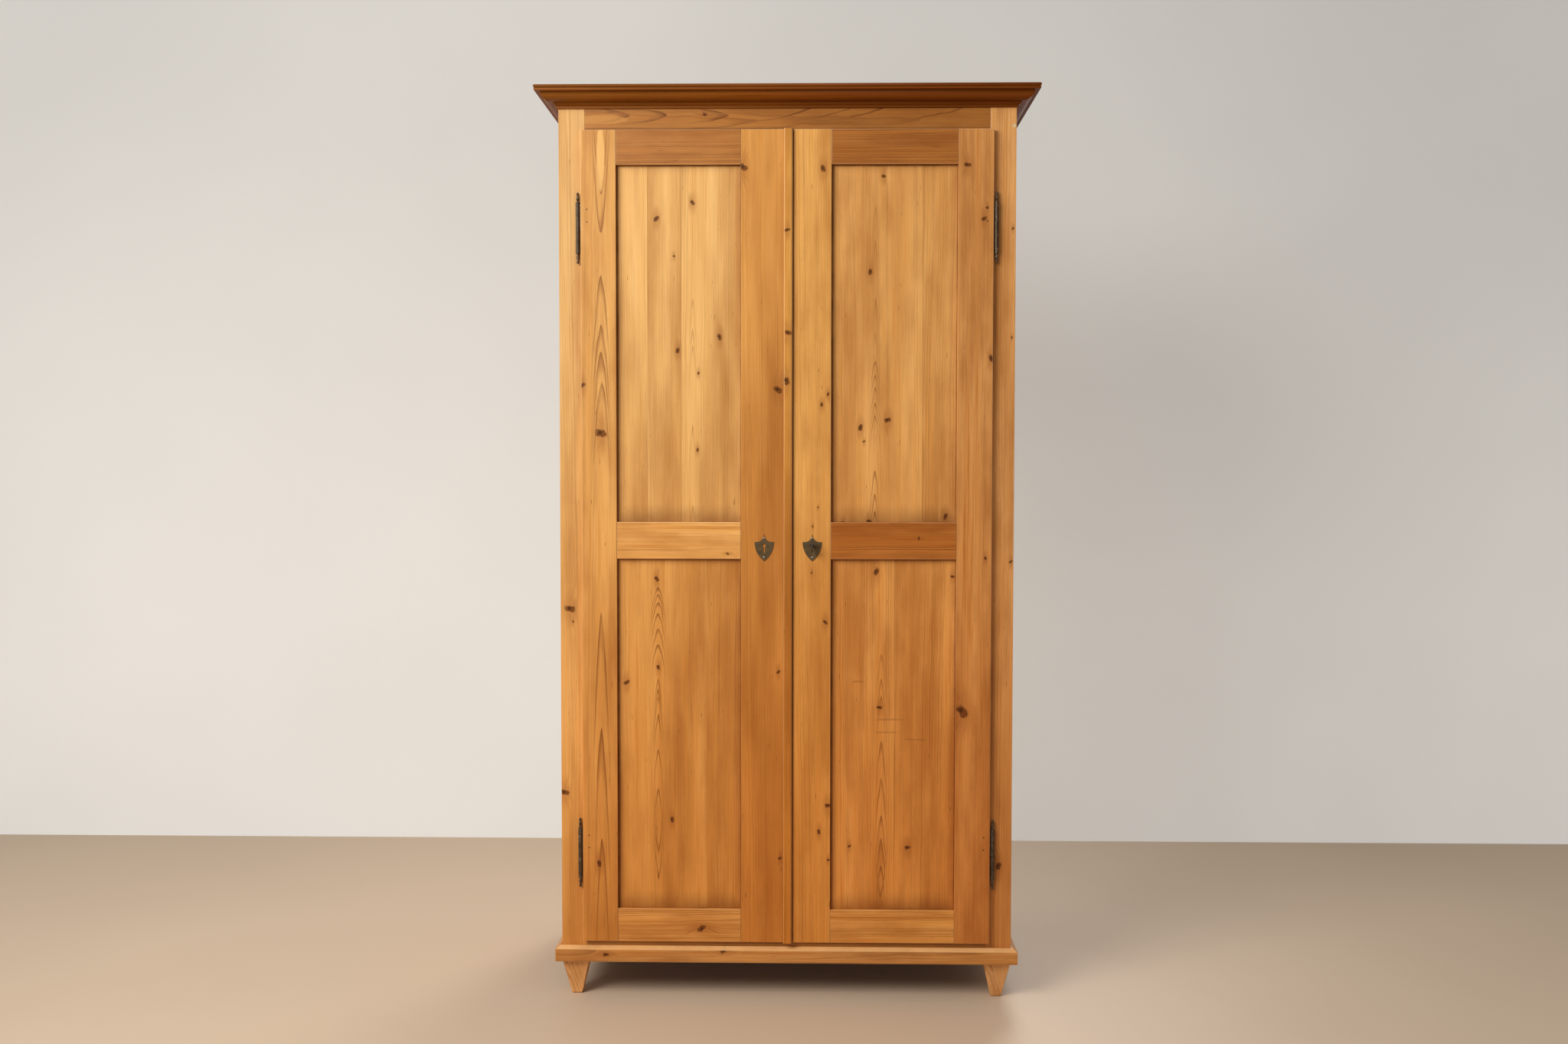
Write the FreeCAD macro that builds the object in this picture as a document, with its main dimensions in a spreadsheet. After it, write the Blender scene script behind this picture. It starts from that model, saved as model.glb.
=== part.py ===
import FreeCAD, Part
import math
import operator
import os
from types import SimpleNamespace

import Sketcher

# A two-door pine wardrobe: a boarded carcase with a face frame, cornice, plinth and tapered feet,
# two lipped frame-and-panel doors on pin hinges, and a shelf and a clothes rail inside.
# Millimetres, +Z up, front facing -Y, origin on the floor under the middle of the whole box.

SIZES = {
    # the whole wardrobe; the depth runs from the face frame's front to the back boards
    "overall_height": 1900,
    "body_width": 946,
    "body_depth": 500,
    # feet and plinth moulding
    "foot_height": 78,
    "foot_top": 57,
    "foot_bottom": 21,
    "plinth_height": 33,
    "plinth_projection": 13,
    "plinth_chamfer_depth": 9,
    "plinth_chamfer_height": 6,
    # carcase boards
    "side_thickness": 20,
    "bottom_thickness": 20,
    "top_thickness": 20,
    "back_thickness": 12,
    "back_rebate": 10,
    "back_gap": 1,
    "back_lap": 8,
    "back_lap_gap": 0.2,
    "back_board_count": 6,
    "housing_depth": 6,
    # face frame, and the round peg that pins its right stile to the side board
    "frame_thickness": 28,
    "frame_stile_width": 54,
    "head_reveal": 45,
    "sill_reveal": 11,
    "frame_tenon_length": 30,
    "frame_tenon_thickness": 9,
    "frame_tenon_shoulder": 10,
    "peg_radius": 4,
    "peg_length": 50,
    "peg_inset": 5,
    "peg_drop": 37,
    # cornice moulding, from its bottom fillet up to the rounded fascia
    "cornice_height": 40,
    "cornice_projection": 44,
    "cornice_fillet_depth": 4,
    "cornice_fillet_height": 5,
    "cornice_bead_depth": 5,
    "cornice_bead_height": 6,
    "cornice_step_depth": 4,
    "cornice_soffit_depth": 12,
    "cornice_fascia_height": 12,
    "cornice_fascia_setback": 1.2,
    "cornice_nose_height": 7.2,
    "cornice_nose_depth": 3,
    "cornice_edge_depth": 4,
    # door framing: the lip lies on the face frame, the rebated back half enters the opening
    "lip_depth": 12,
    "lip_overlap": 7,
    "lip_gap": 0.3,
    "rebate_depth": 12,
    "rebate_clearance": 1.5,
    "meeting_offset": 13,
    "meeting_gap": 1.2,
    "hinge_stile_width": 73,
    "left_meeting_width": 107,
    "right_meeting_width": 78.3,
    "top_rail_height": 72,
    "lock_rail_height": 77,
    "bottom_rail_height": 70,
    "lock_rail_rise": 807,
    "panel_recess": 9,
    "groove_width": 8,
    "groove_depth": 9,
    "panel_play": 1.5,
    "door_tenon_length": 45,
    "door_tenon_shoulder": 12,
    "tenon_end_gap": 1,
    "joint_clearance": 0.1,
    "strip_width": 19,
    "strip_depth": 7,
    "strip_round": 3,
    # pin hinges: the lower half is let into the frame, the upper half into the door's edge
    "hinge_drop": 201,
    "hinge_rise": 187,
    "hinge_offset": 6.5,
    "hinge_stand": 6,
    "barrel_radius": 4.3,
    "knuckle_length": 53,
    "knuckle_gap": 0.2,
    "pin_radius": 2.4,
    "pin_clearance": 0.05,
    "pin_reach": 45,
    "leaf_thickness": 2,
    "leaf_depth": 24,
    "finial_neck": 1.9,
    "finial_collar": 2.5,
    "finial_bead_length": 10,
    "finial_bead_swell": 1.2,
    "finial_ball_radius": 2.6,
    "finial_ball_rise": 4,
    "nail_radius": 1.5,
    "nail_length": 18,
    "nail_proud": 0.3,
    "nail_inset": 13,
    "nail_low": 12,
    "nail_high": 38,
    # shield escutcheons and their pins
    "shield_half_width": 20,
    "shield_height": 56,
    "shield_shoulder_drop": 16,
    "shield_thickness": 1.3,
    "left_shield_setback": 40,
    "right_shield_setback": 39.8,
    "shield_rise": 24,
    "keyhole_radius": 3.4,
    "keyhole_slot_width": 3.4,
    "keyhole_rise": 4,
    "keyhole_drop": 11,
    "shield_pin_radius": 1.2,
    "shield_pin_head": 1.9,
    "shield_pin_dome": 1.1,
    "shield_pin_length": 7,
    "shield_pin_inset": 8,
    # lock, keeper and key
    "case_setback": 4.3,
    "case_width": 64,
    "case_depth": 18,
    "case_wall": 2,
    "case_above_key": 26,
    "case_below_key": 30,
    "bolt_height": 16,
    "bolt_thickness": 5,
    "bolt_length": 46,
    "bolt_above_key": 3,
    "bolt_layer": 10,
    "bolt_clearance": 0.2,
    "keeper_width": 24,
    "keeper_setback": 0.5,
    "keeper_margin": 6,
    "shank_radius": 2.6,
    "shank_stand": 8,
    "shank_reach": 8.5,
    "bow_half_height": 13,
    "bow_length": 20,
    "bow_thickness": 3.2,
    "bow_rim": 4.5,
    "bit_length": 9,
    "bit_width": 6,
    "bit_thickness": 2.2,
    # slide bolts inside the left door
    "slide_radius": 3.5,
    "slide_length": 58,
    "slide_clearance": 0.05,
    "slide_hole_clearance": 0.5,
    "slide_hole_depth": 20,
    "slide_setback": 2,
    "slide_inset": 58,
    "plate_width": 26,
    "plate_thickness": 2,
    "plate_margin": 3,
    "guide_width": 15,
    "guide_height": 9,
    "guide_spacing": 34,
    "guide_wall": 2,
    "knob_radius": 3,
    "knob_length": 11,
    "knob_clearance": 2,
    # shelf and clothes rail
    "hat_space": 235,
    "shelf_thickness": 18,
    "shelf_setback": 30,
    "cleat_height": 35,
    "cleat_thickness": 18,
    "cleat_setback": 20,
    "rail_radius": 13,
    "rail_clearance": 0.2,
    "rail_end_gap": 0.5,
    "socket_radius": 28,
    "socket_thickness": 18,
}


class Length:
    """A length worked out from the sheet, with the expression that gives it."""

    def __init__(self, value, text):
        self.value = value
        self.text = text

    def __add__(self, other):
        return combine(self, "+", other)

    def __sub__(self, other):
        return combine(self, "-", other)

    def __mul__(self, other):
        return combine(self, "*", other)

    def __truediv__(self, other):
        return combine(self, "/", other)

    def __rmul__(self, other):
        return combine(other, "*", self)

    def __neg__(self):
        return combine(0, "-", self)


OPERATIONS = {
    "+": operator.add,
    "-": operator.sub,
    "*": operator.mul,
    "/": operator.truediv,
}


def as_length(number):
    if isinstance(number, Length):
        return number
    return Length(float(number), repr(number))


def combine(first, sign, second):
    first = as_length(first)
    second = as_length(second)
    value = OPERATIONS[sign](first.value, second.value)
    return Length(value, f"({first.text} {sign} {second.text})")


doc = FreeCAD.newDocument("wardrobe")
sheet = doc.addObject("Spreadsheet::Sheet", "Sizes")
for row, (alias, number) in enumerate(SIZES.items(), start=1):
    sheet.set(f"A{row}", alias.replace("_", " "))
    sheet.set(f"B{row}", str(number))
    sheet.setAlias(f"B{row}", alias)
doc.recompute()
s = SimpleNamespace(**{alias: Length(float(sheet.get(alias)), "Sizes." + alias) for alias in SIZES})

sub_parts = []


def keep(solid):
    """Note a finished piece, to be written out under its label."""
    sub_parts.append(solid)
    return solid


def bind(feature, name, length):
    feature.setExpression(name, as_length(length).text)


def place(feature, x, y, z):
    for axis, length in zip("xyz", (x, y, z)):
        bind(feature, "Placement.Base." + axis, length)


def box(name, x_span, y_span, z_span):
    """A board, from its low to its high face along each axis."""
    board = doc.addObject("Part::Box", name)
    for side, (low, high) in zip(("Length", "Width", "Height"), (x_span, y_span, z_span)):
        bind(board, side, as_length(high) - low)
    place(board, x_span[0], y_span[0], z_span[0])
    return board


# Turns that lay the Z axis of a round piece along X, +Y or -Y.
TURNS = {
    "x": FreeCAD.Rotation(FreeCAD.Vector(0, 1, 0), 90),
    "y": FreeCAD.Rotation(FreeCAD.Vector(1, 0, 0), -90),
    "-y": FreeCAD.Rotation(FreeCAD.Vector(1, 0, 0), 90),
    "z": FreeCAD.Rotation(),
    "-z": FreeCAD.Rotation(FreeCAD.Vector(1, 0, 0), 180),
}


def rod(name, along, centre, radius, length):
    """A round bar that starts at a centre and runs along an axis."""
    bar = doc.addObject("Part::Cylinder", name)
    bind(bar, "Radius", radius)
    bind(bar, "Height", length)
    bar.Placement.Rotation = TURNS[along]
    place(bar, *centre)
    return bar


def join(name, solids):
    whole = doc.addObject("Part::MultiFuse", name)
    whole.Shapes = solids
    whole.Refine = True
    return whole


def cut(name, base, tools):
    """Take one or more tools away from a blank."""
    result = doc.addObject("Part::Cut", name)
    result.Base = base
    result.Tool = tools[0] if len(tools) == 1 else join(name + "_waste", tools)
    return result


def group(name, solids):
    """Several separate solids under one name."""
    together = doc.addObject("Part::Compound", name)
    together.Links = solids
    return together


def arc_between(start, end, radius, side):
    """The shorter arc from start to end, with its centre to the left (+1) or right (-1) of the way."""
    run = (end[0] - start[0], end[1] - start[1])
    chord = math.hypot(*run)
    reach = math.sqrt(max(radius**2 - chord**2 / 4, 0))
    centre = FreeCAD.Vector(
        (start[0] + end[0]) / 2 - side * run[1] / chord * reach,
        (start[1] + end[1]) / 2 + side * run[0] / chord * reach,
        0,
    )
    first, last = (start, end) if side > 0 else (end, start)
    first_angle = math.atan2(first[1] - centre.y, first[0] - centre.x)
    last_angle = math.atan2(last[1] - centre.y, last[0] - centre.x)
    circle = Part.Circle(centre, FreeCAD.Vector(0, 0, 1), radius)
    return Part.ArcOfCircle(circle, first_angle, last_angle)


def draw(sketch, outline):
    """Close an outline of straight runs and arcs, every corner and radius bound to the sheet.

    A corner is (x, y), reached by a straight run, or (x, y, radius, side), reached by an arc.
    """
    corners = [(as_length(step[0]), as_length(step[1])) for step in outline]
    start_points = []
    end_points = []
    first_edge = sketch.GeometryCount
    for number, step in enumerate(outline):
        start = [length.value for length in corners[number - 1]]
        end = [length.value for length in corners[number]]
        edge = first_edge + number
        if len(step) == 2:
            line = Part.LineSegment(FreeCAD.Vector(*start, 0), FreeCAD.Vector(*end, 0))
            sketch.addGeometry(line)
            start_points.append((edge, 1))
            end_points.append((edge, 2))
        else:
            radius = as_length(step[2])
            side = step[3]
            sketch.addGeometry(arc_between(start, end, radius.value, side))
            start_points.append((edge, 1 if side > 0 else 2))
            end_points.append((edge, 2 if side > 0 else 1))
            label = f"radius_{edge}"
            index = sketch.addConstraint(Sketcher.Constraint("Radius", edge, radius.value))
            sketch.renameConstraint(index, label)
            bind(sketch, "Constraints." + label, radius)
    for number, (across, up) in enumerate(corners):
        edge, end = end_points[number]
        next_edge, next_start = start_points[(number + 1) % len(outline)]
        sketch.addConstraint(Sketcher.Constraint("Coincident", edge, end, next_edge, next_start))
        for kind, length in (("DistanceX", across), ("DistanceY", up)):
            label = f"{kind.lower()}_{edge}"
            rule = Sketcher.Constraint(kind, -1, 1, edge, end, length.value)
            sketch.renameConstraint(sketch.addConstraint(rule), label)
            bind(sketch, "Constraints." + label, length)


def outlined_body(name, plane, outline):
    """A body holding one sketch of the outline on one of the body's own origin planes."""
    body = doc.addObject("PartDesign::Body", name)
    sketch = body.newObject("Sketcher::SketchObject", name + "_outline")
    origin_plane = next(item for item in body.Origin.OriginFeatures if item.Role == plane)
    sketch.AttachmentSupport = [(origin_plane, "")]
    sketch.MapMode = "FlatFace"
    draw(sketch, outline)
    return body, sketch


def prism(name, plane, outline, low, high):
    """An outline padded square to its plane, from the low to the high place on that axis."""
    body, sketch = outlined_body(name, plane, outline)
    pad = body.newObject("PartDesign::Pad", name + "_pad")
    pad.Profile = sketch
    pad.Reversed = plane == "XZ_Plane"
    bind(pad, "Length", as_length(high) - low)
    axis = {"XY_Plane": "z", "XZ_Plane": "y", "YZ_Plane": "x"}[plane]
    bind(body, "Placement.Base." + axis, low)
    return body


def turned(name, outline, centre, along="z"):
    """An outline of radius and height turned about its upright axis."""
    body, sketch = outlined_body(name, "XZ_Plane", outline)
    revolution = body.newObject("PartDesign::Revolution", name + "_turn")
    revolution.Profile = sketch
    revolution.ReferenceAxis = (sketch, ["V_Axis"])
    revolution.Angle = 360
    body.Placement.Rotation = TURNS[along]
    place(body, *centre)
    return body


def swell(depth, height):
    """Radius of an arc that spans a depth and a height and ends square to the depth."""
    return (depth * depth + height * height) / (2 * depth)


def mirrored(side, near, far):
    """A span across X, given by distances from the middle: side is -1 for left, 1 for right."""
    return (as_length(near), as_length(far)) if side > 0 else (-as_length(far), -as_length(near))


SIDES = {"left": -1, "right": 1}

# Main levels and faces.
half = s.body_width / 2
front = (s.cornice_projection - s.body_depth) / 2
back = front + s.body_depth
frame_back = front + s.frame_thickness
back_inside = back - s.back_thickness
side_inside = half - s.side_thickness
carcase_bottom = s.foot_height
plinth_top = carcase_bottom + s.plinth_height
carcase_top = s.overall_height - s.top_thickness
cornice_bottom = s.overall_height - s.cornice_height
door_bottom = plinth_top + s.sill_reveal
door_top = cornice_bottom - s.head_reveal
opening_bottom = door_bottom + s.lip_overlap
opening_top = door_top - s.lip_overlap
opening_half = half - s.frame_stile_width
door_half = opening_half + s.lip_overlap
door_front = front - s.lip_depth
lip_back = front - s.lip_gap
door_back = front + s.rebate_depth
strip_left = s.meeting_offset - s.strip_width
lock_rail_bottom = door_bottom + s.lock_rail_rise

# Hinge axes and the height where each hinge's two halves meet.
hinge_distance = door_half + s.hinge_offset
hinge_y = front - s.hinge_stand
hinge_levels = {"upper": door_top - s.hinge_drop, "lower": door_bottom + s.hinge_rise}
bore_radius = s.pin_radius + s.pin_clearance
barrel_wall_middle = (bore_radius + s.barrel_radius) / 2
hinge_nail_heights = (s.nail_low, s.nail_high)

# Escutcheons, key and lock.
shield_z = lock_rail_bottom + s.shield_rise
right_edge = s.meeting_offset + s.meeting_gap
shield_x = {"left": strip_left - s.left_shield_setback, "right": right_edge + s.right_shield_setback}
key_x = shield_x["right"]
key_z = shield_z + s.keyhole_rise
case_left = right_edge + s.case_setback
bolt_y = (door_back + s.bolt_layer, door_back + s.bolt_layer + s.bolt_thickness)
bolt_z = (key_z + s.bolt_above_key, key_z + s.bolt_above_key + s.bolt_height)

# Slide bolts on the left door.
slide_x = s.meeting_offset - s.slide_inset
slide_y = door_back + s.plate_thickness + s.guide_wall + s.slide_radius

# Shelf and clothes rail.
shelf_bottom = opening_top - s.hat_space - s.shelf_thickness
shelf_front = frame_back + s.shelf_setback
cleat_bottom = shelf_bottom - s.cleat_height
rail_z = cleat_bottom - s.socket_radius
rail_y = (frame_back + back_inside) / 2


def carcase():
    """Side boards rebated for the back and housed for the bottom, bottom and top boards, lapped back boards."""
    bottom_span = (opening_bottom - s.bottom_thickness, opening_bottom)
    housed = side_inside + s.housing_depth
    for name, side in SIDES.items():
        blank = box(f"{name}_side_blank", mirrored(side, side_inside, half), (frame_back, back),
                    (carcase_bottom, carcase_top))
        rebate = box(f"{name}_side_rebate", mirrored(side, side_inside, side_inside + s.back_rebate),
                     (back_inside, back), (carcase_bottom, carcase_top))
        housing = box(f"{name}_side_housing", mirrored(side, side_inside, housed),
                      (frame_back, back_inside), bottom_span)
        waste = [rebate, housing]
        if name == "right":
            waste.append(peg("right_side_peg_hole"))
        keep(cut(f"{name}_side", blank, waste))
    keep(box("bottom_board", (-housed, housed), (frame_back, back_inside), bottom_span))
    keep(box("top_board", (-half, half), (front, back), (carcase_top, s.overall_height)))

    count = int(s.back_board_count.value)
    back_half = side_inside + s.back_rebate
    board_width = (2 * back_half - (count - 1) * s.back_gap) / count
    lap_face = back - s.back_thickness / 2
    lap_reach = s.back_lap + s.back_gap
    upright = (carcase_bottom, carcase_top)
    boards = []
    for number in range(count):
        label = f"back_board_{number + 1}"
        low = number * (board_width + s.back_gap) - back_half
        high = low + board_width
        waste = []
        if number > 0:
            waste.append(box(f"{label}_rebate", (low, low + lap_reach), (lap_face - s.back_lap_gap, back), upright))
        if number < count - 1:
            tongue_end = high + lap_reach
            waste.append(box(f"{label}_tongue_face", (high, tongue_end), (back_inside, lap_face), upright))
        else:
            tongue_end = high
        blank = box(f"{label}_blank", (low, tongue_end), (back_inside, back), upright)
        boards.append(cut(label, blank, waste))
    keep(group("back_boards", boards))


def peg(name):
    """The round peg through the right stile into the edge of the side board, or the hole for it."""
    centre = (half - s.peg_inset, front, cornice_bottom - s.peg_drop)
    return rod(name, "y", centre, s.peg_radius, s.peg_length)


def frame_leaf_plate(name, side, level, clearance):
    """The buried plate of a hinge's frame half, or the slot for it."""
    reach = s.leaf_thickness / 2 + clearance
    return box(name, mirrored(side, hinge_distance - reach, hinge_distance + reach),
               (hinge_y + barrel_wall_middle, front + s.leaf_depth),
               (level - s.knuckle_length - clearance, level - s.knuckle_gap))


def slide_hole(name, upward):
    """The hole in the frame that a slide bolt shoots into."""
    centre = (slide_x, slide_y, opening_top if upward else opening_bottom)
    return rod(name, "z" if upward else "-z", centre, s.slide_radius + s.slide_hole_clearance,
               s.slide_hole_depth)


def face_frame():
    """Two stiles with a top and a bottom rail tenoned between them."""
    rails = {"top": (opening_top, carcase_top), "bottom": (carcase_bottom, opening_bottom)}
    tenon_front = front + (s.frame_thickness - s.frame_tenon_thickness) / 2
    tenon_back = tenon_front + s.frame_tenon_thickness
    play = s.joint_clearance

    for name, side in SIDES.items():
        blank = box(f"{name}_stile_blank", mirrored(side, opening_half, half), (front, frame_back),
                    (carcase_bottom, carcase_top))
        mortise_end = opening_half + s.frame_tenon_length + s.tenon_end_gap
        waste = []
        for rail, (low, high) in rails.items():
            waste.append(box(f"{name}_stile_{rail}_mortise", mirrored(side, opening_half, mortise_end),
                             (tenon_front - play, tenon_back + play),
                             (low + s.frame_tenon_shoulder - play, high - s.frame_tenon_shoulder + play)))
        for hinge, level in hinge_levels.items():
            waste.append(frame_leaf_plate(f"{name}_stile_{hinge}_slot", side, level, play))
        if name == "right":
            waste.append(peg("right_stile_peg_hole"))
        keep(cut(f"frame_{name}_stile", blank, waste))
    keep(peg("frame_peg"))

    for rail, (low, high) in rails.items():
        bar = box(f"frame_{rail}_rail_bar", (-opening_half, opening_half), (front, frame_back), (low, high))
        tenon_half = opening_half + s.frame_tenon_length
        tenons = box(f"frame_{rail}_rail_tenons", (-tenon_half, tenon_half), (tenon_front, tenon_back),
                     (low + s.frame_tenon_shoulder, high - s.frame_tenon_shoulder))
        blank = join(f"frame_{rail}_rail_blank", [bar, tenons])
        keep(cut(f"frame_{rail}_rail", blank, [slide_hole(f"frame_{rail}_rail_hole", rail == "top")]))


def moulding(name, profile, bottom, top, projection):
    """Front, left and right lengths of one moulding, mitred at the two front corners.

    profile(base, way) gives the section, standing out from a face at base in the way -1 or 1.
    """
    outer = half + projection
    nose = front - projection
    runs = {
        "front": (prism(f"{name}_front_length", "YZ_Plane", profile(front, -1), -outer, outer),
                  [(-half, front), (-outer, nose), (outer, nose), (half, front)]),
        "left": (prism(f"{name}_left_length", "XZ_Plane", profile(-half, -1), nose, back),
                 [(-half, front), (-half, back), (-outer, back), (-outer, nose)]),
        "right": (prism(f"{name}_right_length", "XZ_Plane", profile(half, 1), nose, back),
                  [(half, front), (outer, nose), (outer, back), (half, back)]),
    }
    for place_name, (length, plan) in runs.items():
        piece = doc.addObject("Part::Common", f"{name}_{place_name}")
        piece.Base = length
        piece.Tool = prism(f"{name}_{place_name}_plan", "XY_Plane", plan, bottom, top)
        keep(piece)


def cornice_profile(base, way):
    """Fillet, bead, step, ovolo, soffit, a narrow fascia and a rounded nose above a quirk."""
    bead_bottom = cornice_bottom + s.cornice_fillet_height
    bead_top = bead_bottom + s.cornice_bead_height
    bead_depth = s.cornice_fillet_depth + s.cornice_bead_depth
    ovolo_start = bead_depth + s.cornice_step_depth
    ovolo_end = s.cornice_projection - s.cornice_soffit_depth
    fascia_bottom = s.overall_height - s.cornice_fascia_height
    fascia_depth = s.cornice_projection - s.cornice_fascia_setback
    nose_bottom = s.overall_height - s.cornice_nose_height
    nose_middle = s.overall_height - s.cornice_nose_height / 2
    nose_rise = s.cornice_nose_height / 2
    bead_radius = swell(s.cornice_bead_depth, s.cornice_bead_height)
    ovolo_radius = swell(ovolo_end - ovolo_start, fascia_bottom - bead_top)
    return [
        (base, cornice_bottom),
        (base + way * s.cornice_fillet_depth, cornice_bottom),
        (base + way * s.cornice_fillet_depth, bead_bottom),
        (base + way * bead_depth, bead_top, bead_radius, way),
        (base + way * ovolo_start, bead_top),
        (base + way * ovolo_end, fascia_bottom, ovolo_radius, way),
        (base + way * fascia_depth, fascia_bottom),
        (base + way * fascia_depth, nose_bottom),
        (base + way * (s.cornice_projection - s.cornice_nose_depth), nose_bottom),
        (base + way * s.cornice_projection, nose_middle, swell(s.cornice_nose_depth, nose_rise), way),
        (base + way * (s.cornice_projection - s.cornice_edge_depth), s.overall_height,
         swell(s.cornice_edge_depth, nose_rise), way),
        (base, s.overall_height),
    ]


def plinth_profile(base, way):
    """A flat moulding with a chamfered top edge."""
    return [
        (base, carcase_bottom),
        (base + way * s.plinth_projection, carcase_bottom),
        (base + way * s.plinth_projection, plinth_top - s.plinth_chamfer_height),
        (base + way * (s.plinth_projection - s.plinth_chamfer_depth), plinth_top),
        (base, plinth_top),
    ]


def feet():
    """Four square feet, tapered on all sides, each with a block that is glued under the bottom board."""
    inset = (s.foot_top - s.foot_bottom) / 2
    block_top = opening_bottom - s.bottom_thickness
    rows = {
        "front": (front + s.foot_top, (frame_back, front + s.foot_top)),
        "back": (back, (back - s.foot_top, back_inside)),
    }
    for row_name, (rear_face, block_depth) in rows.items():
        for name, side in SIDES.items():
            leg = doc.addObject("Part::Wedge", f"foot_{row_name}_{name}_leg")
            for low, high, start, end in (("Xmin", "Xmax", inset, s.foot_top - inset),
                                          ("Zmin", "Zmax", inset, s.foot_top - inset),
                                          ("X2min", "X2max", 0, s.foot_top),
                                          ("Z2min", "Z2max", 0, s.foot_top),
                                          ("Ymin", "Ymax", 0, s.foot_height)):
                bind(leg, low, start)
                bind(leg, high, end)
            leg.Placement.Rotation = TURNS["-y"]
            place(leg, mirrored(side, half - s.foot_top, half)[0], rear_face, 0)
            block = box(f"foot_{row_name}_{name}_block", mirrored(side, half - s.foot_top, side_inside),
                        block_depth, (s.foot_height, block_top))
            keep(join(f"foot_{row_name}_{name}", [leg, block]))


def interior():
    """Hat shelf on two cleats, and a turned clothes rail held by two sockets."""
    keep(box("hat_shelf", (-side_inside, side_inside), (shelf_front, back_inside),
             (shelf_bottom, shelf_bottom + s.shelf_thickness)))
    cleats = []
    sockets = []
    for name, side in SIDES.items():
        cleats.append(box(f"shelf_cleat_{name}", mirrored(side, side_inside - s.cleat_thickness, side_inside),
                          (shelf_front + s.cleat_setback, back_inside), (cleat_bottom, shelf_bottom)))
        inner, outer = mirrored(side, side_inside - s.socket_thickness, side_inside)
        disc = rod(f"rail_socket_{name}_disc", "x", (inner, rail_y, rail_z), s.socket_radius, outer - inner)
        bore = rod(f"rail_socket_{name}_bore", "x", (inner, rail_y, rail_z),
                   s.rail_radius + s.rail_clearance, outer - inner)
        sockets.append(cut(f"rail_socket_{name}", disc, [bore]))
    keep(group("shelf_cleats", cleats))
    keep(group("rail_sockets", sockets))
    rail_half = side_inside - s.rail_end_gap
    keep(rod("clothes_rail", "x", (-rail_half, rail_y, rail_z), s.rail_radius, 2 * rail_half))


def door_leaf_plate(name, side, level, clearance):
    """The buried plate of a hinge's door half, or the slot for it."""
    reach = s.leaf_thickness / 2 + clearance
    return box(name, mirrored(side, door_half - s.leaf_depth - clearance, hinge_distance - barrel_wall_middle),
               (hinge_y - reach, hinge_y + reach),
               (level + s.knuckle_gap, level + s.knuckle_length + clearance))


def hinge_nail(name, side, height):
    """A nail through the door's hinge stile and the buried plate, or the hole for it."""
    centre = (side * (door_half - s.nail_inset), door_front - s.nail_proud, height)
    return rod(name, "y", centre, s.nail_radius, s.nail_length)


def keyhole(name, low, high):
    """A round hole with a slot below it, from the low to the high place along Y."""
    hole = rod(name + "_round", "y", (key_x, low, key_z), s.keyhole_radius, high - low)
    slot_half = s.keyhole_slot_width / 2
    slot = box(name + "_slot", (key_x - slot_half, key_x + slot_half), (low, high),
               (shield_z - s.keyhole_drop, key_z))
    return join(name, [hole, slot])


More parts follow.
